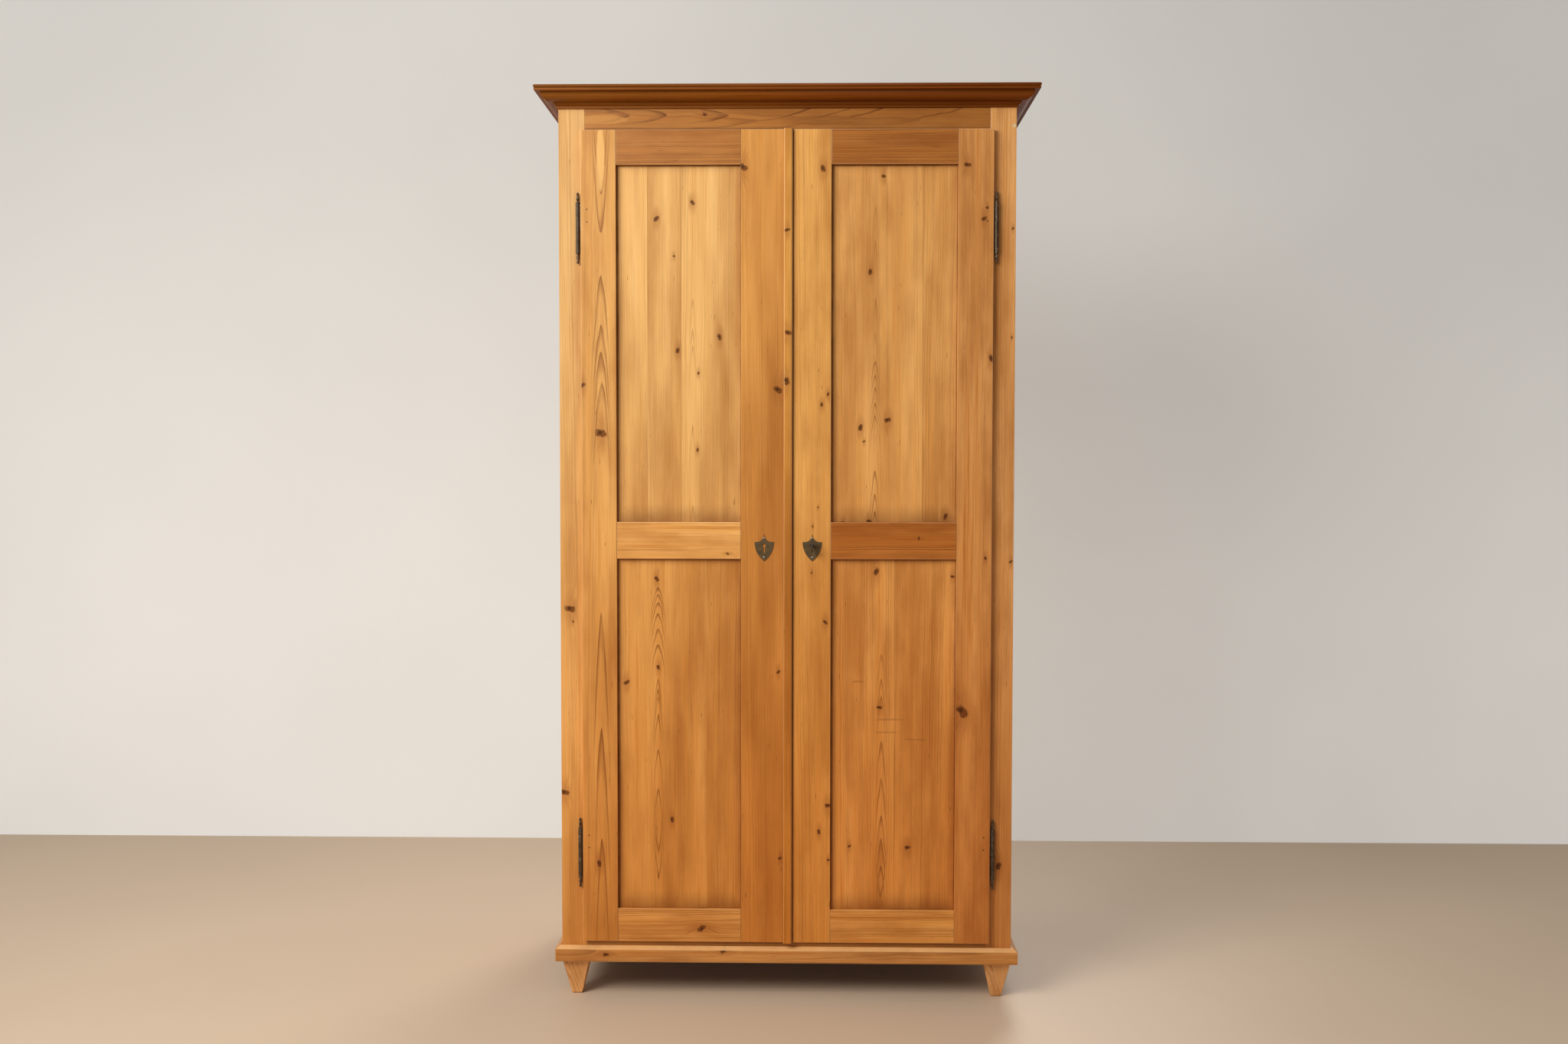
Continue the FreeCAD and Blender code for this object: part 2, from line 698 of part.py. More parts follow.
def door(name, near_edge, meeting_width):
    """Two stiles, three rails and two flat panels; the near edge is the one at the middle of the wardrobe."""
    side = SIDES[name]
    play = s.joint_clearance
    sight_near = near_edge + meeting_width
    sight_far = door_half - s.hinge_stile_width
    whole_depth = (door_front, door_back)
    groove_front = door_front + s.panel_recess
    groove_back = groove_front + s.groove_width
    rebate_far = opening_half - s.rebate_clearance
    rebate_top = opening_top - s.rebate_clearance
    rebate_bottom = opening_bottom + s.rebate_clearance
    rails = {
        "top": (door_top - s.top_rail_height, door_top),
        "lock": (lock_rail_bottom, lock_rail_bottom + s.lock_rail_height),
        "bottom": (door_bottom, door_bottom + s.bottom_rail_height),
    }
    panels = {
        "upper": (rails["lock"][1], rails["top"][0]),
        "lower": (rails["bottom"][1], rails["lock"][0]),
    }

    def end_rebates(piece, near, far):
        return [
            box(f"{name}_{piece}_top_rebate", mirrored(side, near, far), (lip_back, door_back),
                (rebate_top, door_top)),
            box(f"{name}_{piece}_bottom_rebate", mirrored(side, near, far), (lip_back, door_back),
                (door_bottom, rebate_bottom)),
        ]

    stiles = {
        "meeting_stile": (near_edge, sight_near, sight_near - s.door_tenon_length - s.tenon_end_gap, sight_near,
                          sight_near - s.groove_depth, sight_near),
        "hinge_stile": (sight_far, door_half, sight_far, sight_far + s.door_tenon_length + s.tenon_end_gap,
                        sight_far, sight_far + s.groove_depth),
    }
    for stile, (near, far, mortise_near, mortise_far, groove_near, groove_far) in stiles.items():
        blank = box(f"{name}_{stile}_blank", mirrored(side, near, far), whole_depth, (door_bottom, door_top))
        waste = end_rebates(stile, near, far)
        for rail, (low, high) in rails.items():
            waste.append(box(f"{name}_{stile}_{rail}_mortise", mirrored(side, mortise_near, mortise_far),
                             (groove_front, groove_back),
                             (low + s.door_tenon_shoulder - play, high - s.door_tenon_shoulder + play)))
        for panel, (low, high) in panels.items():
            waste.append(box(f"{name}_{stile}_{panel}_groove", mirrored(side, groove_near, groove_far),
                             (groove_front, groove_back), (low - s.groove_depth, high + s.groove_depth)))
        if stile == "hinge_stile":
            waste.append(box(f"{name}_{stile}_side_rebate", mirrored(side, rebate_far, door_half),
                             (lip_back, door_back), (door_bottom, door_top)))
            for hinge, level in hinge_levels.items():
                waste.append(door_leaf_plate(f"{name}_{stile}_{hinge}_slot", side, level, play))
                for number, height in enumerate(hinge_nail_heights):
                    waste.append(hinge_nail(f"{name}_{stile}_{hinge}_nail_hole_{number}", side, level + height))
        else:
            waste.extend(shield_pin_holes(f"{name}_{stile}_pin_hole", name))
            if name == "right":
                waste.append(keyhole(f"{name}_{stile}_keyhole", door_front, door_back))
        keep(cut(f"{name}_{stile}", blank, waste))

    for rail, (low, high) in rails.items():
        bar = box(f"{name}_{rail}_rail_bar", mirrored(side, sight_near, sight_far), whole_depth, (low, high))
        tenons = box(f"{name}_{rail}_rail_tenons",
                     mirrored(side, sight_near - s.door_tenon_length, sight_far + s.door_tenon_length),
                     (groove_front + play, groove_back - play),
                     (low + s.door_tenon_shoulder, high - s.door_tenon_shoulder))
        waste = []
        if rail != "lock":
            waste.append(end_rebates(f"{rail}_rail", sight_near, sight_far)[0 if rail == "top" else 1])
        for edge, low_side in ((low, True), (high, False)):
            if (rail == "top" and not low_side) or (rail == "bottom" and low_side):
                continue
            span = (edge, edge + s.groove_depth) if low_side else (edge - s.groove_depth, edge)
            waste.append(box(f"{name}_{rail}_rail_{'low' if low_side else 'high'}_groove",
                             mirrored(side, sight_near, sight_far), (groove_front, groove_back), span))
        if (name, rail) == ("right", "lock"):
            waste.append(keyhole("right_lock_rail_keyhole", door_front, door_back))
        blank = join(f"{name}_{rail}_rail_blank", [bar, tenons])
        keep(cut(f"{name}_{rail}_rail", blank, waste))

    edge_reach = s.groove_depth - s.panel_play
    for panel, (low, high) in panels.items():
        keep(box(f"{name}_{panel}_panel", mirrored(side, sight_near - edge_reach, sight_far + edge_reach),
                 (groove_front + play, groove_back - play), (low - s.groove_depth, high + edge_reach)))


def meeting_strip():
    """The proud strip planted along the free edge of the left door, its two front edges rounded."""
    strip_front = door_front - s.strip_depth
    strip_right = s.meeting_offset
    rounded = s.strip_round
    outline = [
        (strip_left, door_front),
        (strip_left, strip_front + rounded),
        (strip_left + rounded, strip_front, rounded, 1),
        (strip_right - rounded, strip_front),
        (strip_right, strip_front + rounded, rounded, 1),
        (strip_right, door_front),
    ]
    keep(prism("meeting_strip", "XY_Plane", outline, door_bottom, door_top))


def barrel(name, side, level, along):
    """The turned half of a hinge: bored knuckle, neck, swelled bead, neck and ball."""
    knuckle = s.knuckle_length
    bead_start = knuckle + s.finial_collar
    bead_end = bead_start + s.finial_bead_length
    ball_start = bead_end + s.finial_collar / 2
    ball_middle = ball_start + s.finial_ball_rise
    bead_radius = swell(s.finial_bead_swell, s.finial_bead_length / 2)
    ball_swell = s.finial_ball_radius - s.finial_neck
    outline = [
        (bore_radius, s.knuckle_gap / 2),
        (s.barrel_radius, s.knuckle_gap / 2),
        (s.barrel_radius, knuckle),
        (s.finial_neck, knuckle),
        (s.finial_neck, bead_start),
        (s.finial_neck, bead_end, bead_radius, 1),
        (s.finial_neck, ball_start),
        (s.finial_ball_radius, ball_middle, swell(ball_swell, s.finial_ball_rise), 1),
        (0, ball_middle + s.finial_ball_radius, s.finial_ball_radius, 1),
        (0, s.pin_reach + s.tenon_end_gap),
        (bore_radius, s.pin_reach + s.tenon_end_gap),
    ]
    return turned(name, outline, (side * hinge_distance, hinge_y, level), along)


def hinges():
    """Four pin hinges: a door half above, a frame half below, and a loose pin through both."""
    pins = []
    for name, side in SIDES.items():
        for hinge, level in hinge_levels.items():
            label = f"{hinge}_{name}_hinge"
            holes = [hinge_nail(f"{label}_nail_hole_{number}", side, level + height)
                     for number, height in enumerate(hinge_nail_heights)]
            door_half_blank = join(f"{label}_door_blank", [
                barrel(f"{label}_door_barrel", side, level, "z"),
                door_leaf_plate(f"{label}_door_plate", side, level, 0),
            ])
            keep(cut(f"{label}_door_leaf", door_half_blank, holes))
            keep(join(f"{label}_frame_leaf", [
                barrel(f"{label}_frame_barrel", side, level, "-z"),
                frame_leaf_plate(f"{label}_frame_plate", side, level, 0),
            ]))
            pins.append(rod(f"{label}_pin", "z", (side * hinge_distance, hinge_y, level - s.pin_reach),
                            s.pin_radius, 2 * s.pin_reach))
    keep(group("hinge_pins", pins))


def shield_pin_levels():
    reach = s.shield_height / 2 - s.shield_pin_inset
    return shield_z + reach, shield_z - reach


def shield_pin_holes(name, door_name):
    """Holes for the shanks of the two pins that hold an escutcheon."""
    start = door_front - s.shield_thickness
    return [rod(f"{name}_{number}", "y", (shield_x[door_name], start, level), s.shield_pin_radius,
                s.shield_thickness + s.shield_pin_length)
            for number, level in enumerate(shield_pin_levels())]


def escutcheon(name):
    """A shield with hollow shoulders, pierced for two pins and a keyhole."""
    middle = shield_x[name]
    top = shield_z + s.shield_height / 2
    bottom = shield_z - s.shield_height / 2
    shoulder = top - s.shield_shoulder_drop
    wide = s.shield_half_width
    hollow = swell(wide, s.shield_shoulder_drop)
    belly = swell(wide, s.shield_height - s.shield_shoulder_drop)
    outline = [
        (middle, top, hollow, 1),
        (middle + wide, shoulder, hollow, 1),
        (middle, bottom, belly, -1),
        (middle - wide, shoulder, belly, -1),
    ]
    face = door_front - s.shield_thickness
    plate = prism(f"{name}_escutcheon_plate", "XZ_Plane", outline, face, door_front)
    hole_label = f"{name}_escutcheon_keyhole"
    hole = keyhole(hole_label, face, door_front)
    if name == "left":
        bind(hole, "Placement.Base.x", shield_x["left"] - shield_x["right"])
    waste = [hole] + shield_pin_holes(f"{name}_escutcheon_pin_hole", name)
    keep(cut(f"{name}_escutcheon", plate, waste))


def shield_pins(name):
    """Two small round-headed pins through an escutcheon into the meeting stile."""
    dome = swell(s.shield_pin_dome, s.shield_pin_head)
    outline = [
        (0, -(s.shield_thickness + s.shield_pin_length)),
        (s.shield_pin_radius, -(s.shield_thickness + s.shield_pin_length)),
        (s.shield_pin_radius, 0),
        (s.shield_pin_head, 0),
        (0, s.shield_pin_dome, dome, 1),
    ]
    face = door_front - s.shield_thickness
    return [turned(f"{name}_shield_pin_{number}", outline, (shield_x[name], face, level), "-y")
            for number, level in enumerate(shield_pin_levels())]


def door_nails(name):
    """Hinge nails and escutcheon pins of one door."""
    nails = [hinge_nail(f"{name}_{hinge}_hinge_nail_{number}", SIDES[name], level + height)
             for hinge, level in hinge_levels.items()
             for number, height in enumerate(hinge_nail_heights)]
    keep(group(f"{name}_door_nails", nails + shield_pins(name)))


def lock():
    """Lock case on the back of the right door, its sliding bolt, the keeper on the left door, and the key."""
    play = s.bolt_clearance
    case_right = case_left + s.case_width
    case_z = (key_z - s.case_below_key, key_z + s.case_above_key)
    wall = s.case_wall
    case_back = door_back + s.case_depth
    slot_y = (bolt_y[0] - play, bolt_y[1] + play)
    slot_z = (bolt_z[0] - play, bolt_z[1] + play)
    shell = box("lock_case_shell", (case_left, case_right), (door_back, case_back), case_z)
    cavity = box("lock_case_cavity", (case_left + wall, case_right - wall), (door_back, case_back - wall),
                 (case_z[0] + wall, case_z[1] - wall))
    mouth = box("lock_case_mouth", (case_left, case_left + wall), slot_y, slot_z)
    keep(cut("lock_case", shell, [cavity, mouth]))
    keep(box("lock_bolt", (case_left, case_left + s.bolt_length), bolt_y, bolt_z))

    keeper_right = s.meeting_offset - s.keeper_setback
    keeper_x = (keeper_right - s.keeper_width, keeper_right)
    staple = box("lock_keeper_staple", keeper_x, (door_back, case_back),
                 (bolt_z[0] - s.keeper_margin, bolt_z[1] + s.keeper_margin))
    keep(cut("lock_keeper", staple, [box("lock_keeper_slot", keeper_x, slot_y, slot_z)]))

    bow_inner = door_front - s.shank_stand
    bow_middle = bow_inner - s.bow_length / 2
    shank_end = door_back + s.shank_reach
    shank = rod("key_shank", "y", (key_x, bow_inner - s.bow_rim / 2, key_z), s.shank_radius,
                shank_end - bow_inner + s.bow_rim / 2)
    bit = box("key_bit", (key_x - s.bit_thickness / 2, key_x + s.bit_thickness / 2),
              (shank_end - s.bit_width, shank_end), (key_z - s.shank_radius - s.bit_length, key_z))
    bow = cut("key_bow", key_oval("key_bow_outer", bow_middle, s.bow_length / 2, s.bow_half_height),
              [key_oval("key_bow_eye", bow_middle, s.bow_length / 2 - s.bow_rim, s.bow_half_height - s.bow_rim)])
    keep(join("key", [shank, bit, bow]))


def key_oval(name, middle, half_length, half_height):
    """A pointed oval as thick as the key's bow, standing upright along Y."""
    curve = swell(half_length, half_height)
    outline = [
        (middle, key_z + half_height, curve, 1),
        (middle, key_z - half_height, curve, 1),
    ]
    thickness = s.bow_thickness / 2
    return prism(name, "YZ_Plane", outline, key_x - thickness, key_x + thickness)


def slide_bolts():
    """Two small bolts on the back of the left door, each in two guides on its own plate."""
    plates = []
    guide_depth = 2 * (s.guide_wall + s.slide_radius)
    plate_back = door_back + s.plate_thickness
    for name, way, edge in (("top", 1, opening_top - s.rebate_clearance),
                            ("bottom", -1, opening_bottom + s.rebate_clearance)):
        def upright(near, far):
            """A span along Z, given by distances from the door's rebated edge."""
            return (edge - far, edge - near) if way > 0 else (edge + near, edge + far)

        first = s.slide_setback + s.plate_margin
        second = first + s.guide_height + s.guide_spacing
        plate_end = second + s.guide_height + s.plate_margin
        base = box(f"{name}_bolt_plate_base",
                   (slide_x - s.plate_width / 2, slide_x + s.plate_width / 2), (door_back, plate_back),
                   upright(s.slide_setback, plate_end))
        guides = [box(f"{name}_bolt_guide_{number}",
                      (slide_x - s.guide_width / 2, slide_x + s.guide_width / 2),
                      (plate_back, plate_back + guide_depth), upright(near, near + s.guide_height))
                  for number, near in enumerate((first, second))]
        along = "z" if way > 0 else "-z"
        bore = rod(f"{name}_bolt_bore", along, (slide_x, slide_y, edge - way * plate_end),
                   s.slide_radius + s.slide_clearance, plate_end)
        plates.append(cut(f"{name}_bolt_plate", join(f"{name}_bolt_plate_blank", [base] + guides), [bore]))

        knob_place = second - s.knob_clearance - s.knob_radius
        shaft = rod(f"{name}_bolt_shaft", along,
                    (slide_x, slide_y, edge - way * (s.slide_setback + s.slide_length)),
                    s.slide_radius, s.slide_length)
        knob = rod(f"{name}_bolt_knob", "y", (slide_x, slide_y, edge - way * knob_place),
                   s.knob_radius, s.slide_radius + s.knob_length)
        keep(join(f"left_{name}_bolt", [shaft, knob]))
    keep(group("bolt_plates", plates))


carcase()
face_frame()
moulding("cornice", cornice_profile, cornice_bottom, s.overall_height, s.cornice_projection)
moulding("plinth", plinth_profile, carcase_bottom, plinth_top, s.plinth_projection)
feet()
interior()
door("left", -s.meeting_offset, s.left_meeting_width)
door("right", right_edge, s.right_meeting_width)
meeting_strip()
hinges()
for door_name in SIDES:
    escutcheon(door_name)
    door_nails(door_name)
lock()
slide_bolts()
doc.recompute()

# Nothing is written unless every feature was built and every piece is a sound solid.
faults = [item.Name for item in doc.Objects if "Invalid" in item.State or "Error" in item.State]
for piece in sub_parts:
    if piece.Shape.isNull() or not piece.Shape.isValid() or not piece.Shape.Solids:
        faults.append(piece.Label)
if faults:
    raise RuntimeError("not built: " + ", ".join(faults))

os.makedirs("parts", exist_ok=True)
for piece in sub_parts:
    piece.Shape.exportStep(f"parts/{piece.Label}.step")
print(len(sub_parts), "pieces written")
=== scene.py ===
import math
from dataclasses import dataclass

import bpy
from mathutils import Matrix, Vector


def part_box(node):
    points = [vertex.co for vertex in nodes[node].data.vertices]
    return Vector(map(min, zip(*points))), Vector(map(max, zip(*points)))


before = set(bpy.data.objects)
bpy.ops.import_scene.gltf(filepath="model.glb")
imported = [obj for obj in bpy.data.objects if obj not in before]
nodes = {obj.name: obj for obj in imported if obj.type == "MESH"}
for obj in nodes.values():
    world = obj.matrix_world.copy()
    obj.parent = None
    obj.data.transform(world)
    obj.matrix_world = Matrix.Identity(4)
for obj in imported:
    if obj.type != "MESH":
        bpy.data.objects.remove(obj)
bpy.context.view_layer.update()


# Side boards
# Each side of the carcase is glued up from upright pine planks, planed, and waxed long ago outside only.
# The bottom is housed in them, the back lies in their rebates, and the face frame is glued on in front.
class Recipe:
    """Lays out the steps of one finish. A step takes numbers, colours or what earlier steps give."""

    def __init__(self, tree):
        self.tree = tree

    def feed(self, socket, value):
        if isinstance(value, bpy.types.NodeSocket):
            self.tree.links.new(value, socket)
        else:
            socket.default_value = value

    def step(self, kind, inputs, **settings):
        node = self.tree.nodes.new(kind)
        for setting, value in settings.items():
            setattr(node, setting, value)
        for key, value in inputs.items():
            self.feed(node.inputs[key], value)
        return node

    def math(self, operation, *values):
        node = self.step("ShaderNodeMath", dict(enumerate(values)), operation=operation)
        return node.outputs[0]

    def total(self, *values):
        result = values[0]
        for value in values[1:]:
            result = self.math("ADD", result, value)
        return result

    def product(self, *values):
        result = values[0]
        for value in values[1:]:
            result = self.math("MULTIPLY", result, value)
        return result

    def length(self, first, second):
        squares = self.total(self.product(first, first), self.product(second, second))
        return self.math("SQRT", squares)

    def fade(self, value, start, end, low=0.0, high=1.0):
        """Goes smoothly from low at start to high at end."""
        inputs = {0: value, 1: start, 2: end, 3: low, 4: high}
        node = self.step("ShaderNodeMapRange", inputs, interpolation_type="SMOOTHSTEP")
        return node.outputs[0]

    def bell(self, first, second):
        """1 in the middle, falling off smoothly as either value leaves 0."""
        squares = self.total(self.product(first, first), self.product(second, second))
        return self.math("EXPONENT", self.product(squares, -1.0))

    def point(self, x, y, z):
        return self.step("ShaderNodeCombineXYZ", {0: x, 1: y, 2: z}).outputs[0]

    def noise(self, place, scale=1.0, detail=1.0, output="Fac"):
        inputs = {"Vector": place, "Scale": scale, "Detail": detail}
        return self.step("ShaderNodeTexNoise", inputs).outputs[output]

    def off_noise(self, place, scale=1.0, detail=1.0):
        """Noise about 0."""
        return self.math("SUBTRACT", self.noise(place, scale, detail), 0.5)

    def mix(self, share, first, second, blend="MIX"):
        inputs = {0: share, 6: first, 7: second}
        node = self.step("ShaderNodeMix", inputs, data_type="RGBA", blend_type=blend)
        return node.outputs[2]

    def group(self, tree, inputs):
        node = self.tree.nodes.new("ShaderNodeGroup")
        node.node_tree = tree
        for key, value in inputs.items():
            self.feed(node.inputs[key], value)
        return node.outputs


def new_group(name, numbers, colours, results):
    """An empty node group with these inputs and outputs, and the recipe that fills it."""
    tree = bpy.data.node_groups.new(name, "ShaderNodeTree")
    for label in numbers:
        tree.interface.new_socket(label, in_out="INPUT", socket_type="NodeSocketFloat")
    for label in colours:
        tree.interface.new_socket(label, in_out="INPUT", socket_type="NodeSocketColor")
    for label in results:
        kind = "NodeSocketColor" if label == "Colour" else "NodeSocketFloat"
        tree.interface.new_socket(label, in_out="OUTPUT", socket_type=kind)
    given = tree.nodes.new("NodeGroupInput").outputs
    wanted = tree.nodes.new("NodeGroupOutput").inputs
    return tree, Recipe(tree), given, wanted


def grain_group():
    """Year rings round a pith behind the face, and the streaks, fibres and resin pockets of one plank."""
    tree, recipe, given, wanted = new_group(
        "pine_grain",
        ["Along", "Across", "Depth", "Pith Across", "Pith Depth", "Taper", "Ring", "Sway", "Push", "Seed"],
        [],
        ["Latewood", "Streak", "Fibre", "Broad", "Mottle", "Resin"],
    )
    along, across, depth, seed = given["Along"], given["Across"], given["Depth"], given["Seed"]

    def place(across_scale, along_scale):
        return recipe.point(
            recipe.total(recipe.product(across, across_scale), seed),
            recipe.total(recipe.product(along, along_scale), seed),
            recipe.product(depth, across_scale),
        )

    drift = recipe.noise(place(6.0, 2.4), detail=2.0, output="Color")
    wander = recipe.step("ShaderNodeSeparateXYZ", {0: drift})
    sideways = recipe.product(recipe.math("SUBTRACT", wander.outputs[0], 0.5), given["Sway"])
    inward = recipe.product(recipe.math("SUBTRACT", wander.outputs[1], 0.5), given["Sway"])
    from_side = recipe.total(recipe.math("SUBTRACT", across, given["Pith Across"]), sideways)
    from_back = recipe.total(recipe.math("SUBTRACT", depth, given["Pith Depth"]), inward)
    to_pith = recipe.length(from_side, from_back)
    flatness = recipe.math("POWER", recipe.math("DIVIDE", from_back, to_pith), 2.0)
    radius = recipe.total(to_pith, recipe.product(along, given["Taper"]), given["Push"])
    uneven = recipe.off_noise(place(90.0, 13.0), detail=2.0)
    ring_count = recipe.total(recipe.math("DIVIDE", radius, given["Ring"]), recipe.product(uneven, 0.9))
    seasons = recipe.noise(recipe.point(recipe.product(ring_count, 0.37), seed, 0.0), detail=1.0)
    years = recipe.total(ring_count, recipe.product(seasons, 1.6))
    part_year = recipe.math("FRACT", years)
    darkening = recipe.fade(part_year, 0.30, 0.88)
    ending = recipe.fade(part_year, 0.90, 1.0, 1.0, 0.0)
    year_number = recipe.total(recipe.math("FLOOR", years), seed)
    hard_year = recipe.step("ShaderNodeTexWhiteNoise", {"W": year_number}, noise_dimensions="1D")
    hardness = recipe.fade(hard_year.outputs["Value"], 0.15, 1.0, 0.10, 1.0)
    shown = recipe.fade(flatness, 0.0, 1.0, 0.60, 1.0)
    cleared = recipe.fade(recipe.noise(place(22.0, 3.0), detail=2.0), 0.34, 0.62, 0.55, 1.0)
    recipe.feed(wanted["Latewood"], recipe.product(darkening, ending, hardness, shown, cleared))
    recipe.feed(wanted["Streak"], recipe.noise(place(75.0, 1.3), detail=4.0))
    recipe.feed(wanted["Fibre"], recipe.noise(place(420.0, 9.0), detail=3.0))
    recipe.feed(wanted["Broad"], recipe.noise(place(15.0, 1.9), detail=2.0))
    recipe.feed(wanted["Mottle"], recipe.noise(place(38.0, 11.0), detail=3.0))
    dashes = recipe.fade(recipe.noise(place(380.0, 34.0), detail=1.0), 0.75, 0.82)
    spots = recipe.step("ShaderNodeTexVoronoi", {"Vector": place(20.0, 20.0)}, voronoi_dimensions="2D")
    near_spot = recipe.fade(spots.outputs["Distance"], 0.012, 0.032, 1.0, 0.0)
    spot_kind = recipe.step("ShaderNodeSeparateColor", {0: spots.outputs["Color"]}).outputs[0]
    chosen = recipe.fade(spot_kind, 0.62, 0.80)
    recipe.feed(wanted["Resin"], recipe.math("MAXIMUM", dashes, recipe.product(near_spot, chosen)))
    return tree


def knot_group():
    """One branch knot: dark heart, reddish halo with tails, and how far it pushes the year rings aside."""
    tree, recipe, given, wanted = new_group(
        "pine_knot",
        ["Along", "Across", "Knot Along", "Knot Across", "Radius"],
        [],
        ["Push", "Heart", "Core", "Halo"],
    )
    off_across = recipe.math("SUBTRACT", given["Across"], given["Knot Across"])
    off_along = recipe.math("SUBTRACT", given["Along"], given["Knot Along"])
    side = recipe.math("DIVIDE", off_across, given["Radius"])
    up = recipe.math("DIVIDE", off_along, given["Radius"])
    own_place = recipe.point(side, up, recipe.product(given["Knot Along"], 70.0))
    ragged = recipe.off_noise(own_place, scale=0.9, detail=3.0)
    turn = recipe.product(given["Knot Along"], 137.0)
    slant = recipe.total(
        recipe.product(side, recipe.math("COSINE", turn)),
        recipe.product(up, recipe.math("SINE", turn)),
    )
    round_part = recipe.length(recipe.product(side, 1.15), recipe.product(up, 1.15))
    near = recipe.total(
        round_part,
        recipe.product(recipe.math("ABSOLUTE", slant), -0.55),
        recipe.product(ragged, 1.0),
        0.15,
    )
    rim = recipe.bell(recipe.math("DIVIDE", recipe.math("SUBTRACT", near, 0.95), 0.24), 0.0)
    broken = recipe.fade(recipe.noise(own_place, scale=1.6, detail=1.0), 0.36, 0.58)
    pit = recipe.length(recipe.total(side, 0.22), recipe.total(up, -0.15))
    far = recipe.length(side, recipe.product(up, 0.36))
    tail = recipe.length(recipe.product(side, 1.5), recipe.product(up, 0.16))
    recipe.feed(wanted["Push"], recipe.product(recipe.fade(far, 0.0, 2.8, 1.7, 0.0), given["Radius"]))
    recipe.feed(wanted["Heart"], recipe.fade(near, 0.72, 1.18, 1.0, 0.0))
    dark_rim = recipe.product(rim, broken)
    dark_pit = recipe.fade(pit, 0.15, 0.80, 1.0, 0.0)
    recipe.feed(wanted["Core"], recipe.math("MAXIMUM", dark_rim, dark_pit))
    glow = recipe.fade(far, 0.6, 2.6, 0.8, 0.0)
    tails = recipe.fade(tail, 0.3, 1.1, 0.6, 0.0)
    recipe.feed(wanted["Halo"], recipe.math("MAXIMUM", glow, tails))
    return tree


def pine_colour_group():
    """Turns the grain, knots, dirt and painted shade of a plank into its colour, gloss and relief."""
    tree, recipe, given, wanted = new_group(
        "pine_colour",
        ["Latewood", "Streak", "Fibre", "Broad", "Mottle", "Resin", "Figure",
         "Heart", "Core", "Halo", "Dirt And Shade", "Wear"],
        ["Pale", "Deep", "Late"],
        ["Colour", "Rough", "Height"],
    )
    resin_brown = (0.135, 0.045, 0.012, 1.0)
    halo_red = (0.320, 0.092, 0.014, 1.0)
    knot_black = (0.030, 0.007, 0.001, 1.0)
    knot_red = (0.185, 0.045, 0.006, 1.0)
    # Dirt and painted shade both darken towards this brown.
    dirt_and_shade_brown = (0.105, 0.026, 0.003, 1.0)
    worn_tan = (0.930, 0.610, 0.290, 1.0)
    shade_powers = (0.75, 1.20, 1.90)
    off_streak = recipe.product(recipe.math("SUBTRACT", given["Streak"], 0.5), given["Figure"])
    off_fibre = recipe.math("SUBTRACT", given["Fibre"], 0.5)
    off_mottle = recipe.product(recipe.math("SUBTRACT", given["Mottle"], 0.5), given["Figure"])
    cloudy = recipe.total(given["Broad"], recipe.product(off_streak, 0.9), recipe.product(off_mottle, 0.4))
    tint_and_shade = recipe.fade(cloudy, 0.12, 0.88)
    colour = recipe.mix(tint_and_shade, given["Pale"], given["Deep"])
    colour = recipe.mix(given["Latewood"], colour, given["Late"])
    shade = recipe.total(
        1.0,
        recipe.product(off_streak, 0.95),
        recipe.product(off_fibre, 0.36),
        recipe.product(off_mottle, 0.20),
    )
    warm_shade = recipe.point(*(recipe.math("POWER", shade, power) for power in shade_powers))
    colour = recipe.mix(1.0, colour, warm_shade, blend="MULTIPLY")
    colour = recipe.mix(recipe.product(given["Resin"], 0.65), colour, resin_brown)
    colour = recipe.mix(recipe.product(given["Halo"], 0.45), colour, halo_red)
    heart = recipe.mix(given["Core"], knot_red, knot_black)
    colour = recipe.mix(recipe.product(given["Heart"], 0.90), colour, heart)
    colour = recipe.mix(given["Wear"], colour, worn_tan)
    recipe.feed(wanted["Colour"], recipe.mix(given["Dirt And Shade"], colour, dirt_and_shade_brown))
    rough = recipe.total(
        0.44,
        recipe.product(off_fibre, 0.18),
        recipe.product(given["Dirt And Shade"], 0.20),
        recipe.product(given["Heart"], -0.08),
    )
    recipe.feed(wanted["Rough"], rough)
    height = recipe.total(
        recipe.product(given["Latewood"], 0.15),
        recipe.product(off_fibre, 0.60),
        recipe.product(given["Resin"], -0.60),
        recipe.product(given["Heart"], 0.45),
    )
    recipe.feed(wanted["Height"], height)
    return tree


PINE_GRAIN = grain_group()
PINE_KNOT = knot_group()
PINE_COLOUR = pine_colour_group()
# Waxed pine is painted darker and more orange towards its foot and paler towards its head: painted shade of
# the light falling off downwards.
WAXED_PINE = dict(pale=(0.850, 0.450, 0.140), deep=(0.465, 0.186, 0.039), late=(0.205, 0.062, 0.012),
                  tint_and_shade=("Z", 0.2, 1.5), foot=(0.91, 0.77, 0.64), head=(1.0, 1.12, 1.36), shine=0.22)


@dataclass
class Flame:
    """A column of pointed year rings, as a plank shows where it was sawn close beside the pith.

    The points lie on one line along the plank. drop is how far a ring runs back within the half width, and
    is negative where the points look the other way.
    """

    across: float
    points: tuple
    half_width: float
    drop: float
    strength: float = 0.85
    depth: float = 0.012


@dataclass
class Plank:
    """One sawn plank: where its pith ran across and behind the face, how its year rings lie, and its tone.

    edge is where the next plank across begins, seam how dark the glue line is there, and figure how
    strongly the wood is streaked.
    """

    seed: float
    pith: float
    behind: float = 0.040
    taper: float = 0.010
    ring: float = 0.0055
    sway: float = 0.010
    contrast: float = 0.42
    tone: tuple = (1.0, 1.0, 1.0)
    edge: float = 9.0
    seam: float = 0.50
    figure: float = 1.3


def toned(colour, *tones):
    """A colour as it shows through one or more tones."""
    for tone in tones:
        colour = tuple(c * t for c, t in zip(colour, tone))
    return (*colour, 1.0)


